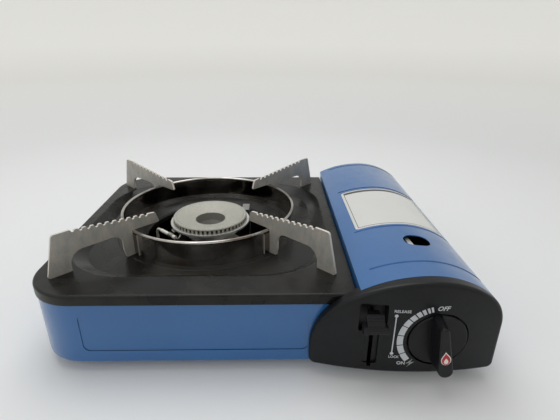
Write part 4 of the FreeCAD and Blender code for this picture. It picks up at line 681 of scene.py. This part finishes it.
def makeBackdrop():
    # a round paper cove, so every side of the stove has the same background
    shape = bmesh.new()
    middle, rim = (shape.verts.new((x, 0, 0)) for x in (0, studio["flatR"]))
    shape.edges.new((middle, rim))
    bent = bmesh.ops.spin(shape, geom=[rim], cent=(studio["flatR"], 0, studio["bendR"]), axis=(0, -1, 0),
                          angle=math.pi / 2, steps=studio["bendSteps"])["geom_last"]
    ends = [item for item in bent if isinstance(item, bmesh.types.BMVert)]
    top = bmesh.ops.extrude_vert_indiv(shape, verts=ends)
    bmesh.ops.translate(shape, verts=top["verts"], vec=(0, 0, studio["height"]))
    bmesh.ops.spin(shape, geom=shape.verts[:] + shape.edges[:], cent=(0, 0, 0), axis=(0, 0, 1),
                   angle=2 * math.pi, steps=studio["roundSteps"], use_merge=True)
    bmesh.ops.remove_doubles(shape, verts=shape.verts, dist=studio["merge"])
    bmesh.ops.recalc_face_normals(shape, faces=shape.faces)
    bmesh.ops.reverse_faces(shape, faces=shape.faces)
    mesh = bpy.data.meshes.new("backdrop")
    shape.to_mesh(mesh)
    shape.free()
    for face in mesh.polygons:
        face.use_smooth = True
    backdrop = bpy.data.objects.new("backdrop", mesh)
    bpy.context.scene.collection.objects.link(backdrop)
    material, shader, place = startMaterial("paperBackdrop", {"colour": studio["floor"],
                                                             "roughness": studio["roughness"]})
    height = addNode(material, "ShaderNodeSeparateXYZ", {0: place})
    tone = addNode(material, "ShaderNodeValToRGB")
    stops = tone.color_ramp.elements
    stops[0].color, stops[1].color = linear(studio["floor"]), linear(studio["high"])
    stops.new(studio["wallFrom"]).color = linear(studio["wall"])
    stops.new(studio["wallTo"]).color = linear(studio["wall"])
    stops[3].position = studio["highFrom"]
    join(material, height.outputs["Z"], tone.inputs["Fac"])
    join(material, tone.outputs["Color"], shader.inputs["Base Color"])
    rising = addNode(material, "ShaderNodeMapRange", {"Value": height.outputs["Z"]},
                     {"From Max": studio["glowFrom"], "To Min": studio["floorGlow"],
                      "To Max": studio["glow"]})
    glow = addNode(material, "ShaderNodeMath", {0: seenItself(material), 1: rising.outputs["Result"]},
                   operation="MULTIPLY")
    join(material, tone.outputs["Color"], shader.inputs["Emission Color"])
    join(material, glow.outputs[0], shader.inputs["Emission Strength"])
    mesh.materials.append(material)


def makeSky():
    world = bpy.data.worlds.new("studio")
    bpy.context.scene.world = world
    world.use_nodes = True
    sky = world.node_tree.nodes["Background"]
    strength = addNode(world, "ShaderNodeMapRange", {"Value": seenItself(world)},
                       {"To Min": studio["skyStrength"], "To Max": studio["skySeen"]})
    join(world, strength.outputs["Result"], sky.inputs["Strength"])
    sky.inputs["Color"].default_value = linear(studio["sky"])


def makeLamp(name, power, size, place, aim):
    lamp = bpy.data.lights.new(name, "AREA")
    lamp.energy = power
    lamp.size = size
    holder = bpy.data.objects.new(name, lamp)
    holder.location = place
    holder.rotation_euler = (Vector(aim) - Vector(place)).to_track_quat("-Z", "Y").to_euler()
    bpy.context.scene.collection.objects.link(holder)


# Solved from the outline of the top plate, the ring and the panel in the photograph, angles in degrees
photoCamera = {"sensor": 36.0, "lens": 26.68, "nearest": 0.01, "place": (9.45, -354.45, 235.56),
               "tilt": 66.86, "turn": -1.16, "roll": 0.27}


def makeCamera():
    camera = bpy.data.cameras.new("camera")
    camera.sensor_width = photoCamera["sensor"]
    camera.lens = photoCamera["lens"]
    camera.clip_start = photoCamera["nearest"]
    holder = bpy.data.objects.new("camera", camera)
    holder.location = Vector(photoCamera["place"]) * mm
    turned = Euler((math.radians(photoCamera["tilt"]), 0, math.radians(photoCamera["turn"])))
    rolled = Quaternion((0, 0, 1), math.radians(photoCamera["roll"]))
    holder.rotation_mode = "QUATERNION"
    holder.rotation_quaternion = turned.to_quaternion() @ rolled
    bpy.context.scene.collection.objects.link(holder)
    bpy.context.scene.camera = holder


makeBackdrop()
makeSky()
for name, lamp in lamps.items():
    makeLamp(name, **lamp)
makeCamera()
bpy.context.scene.view_settings.view_transform = "Standard"
print("studio set")
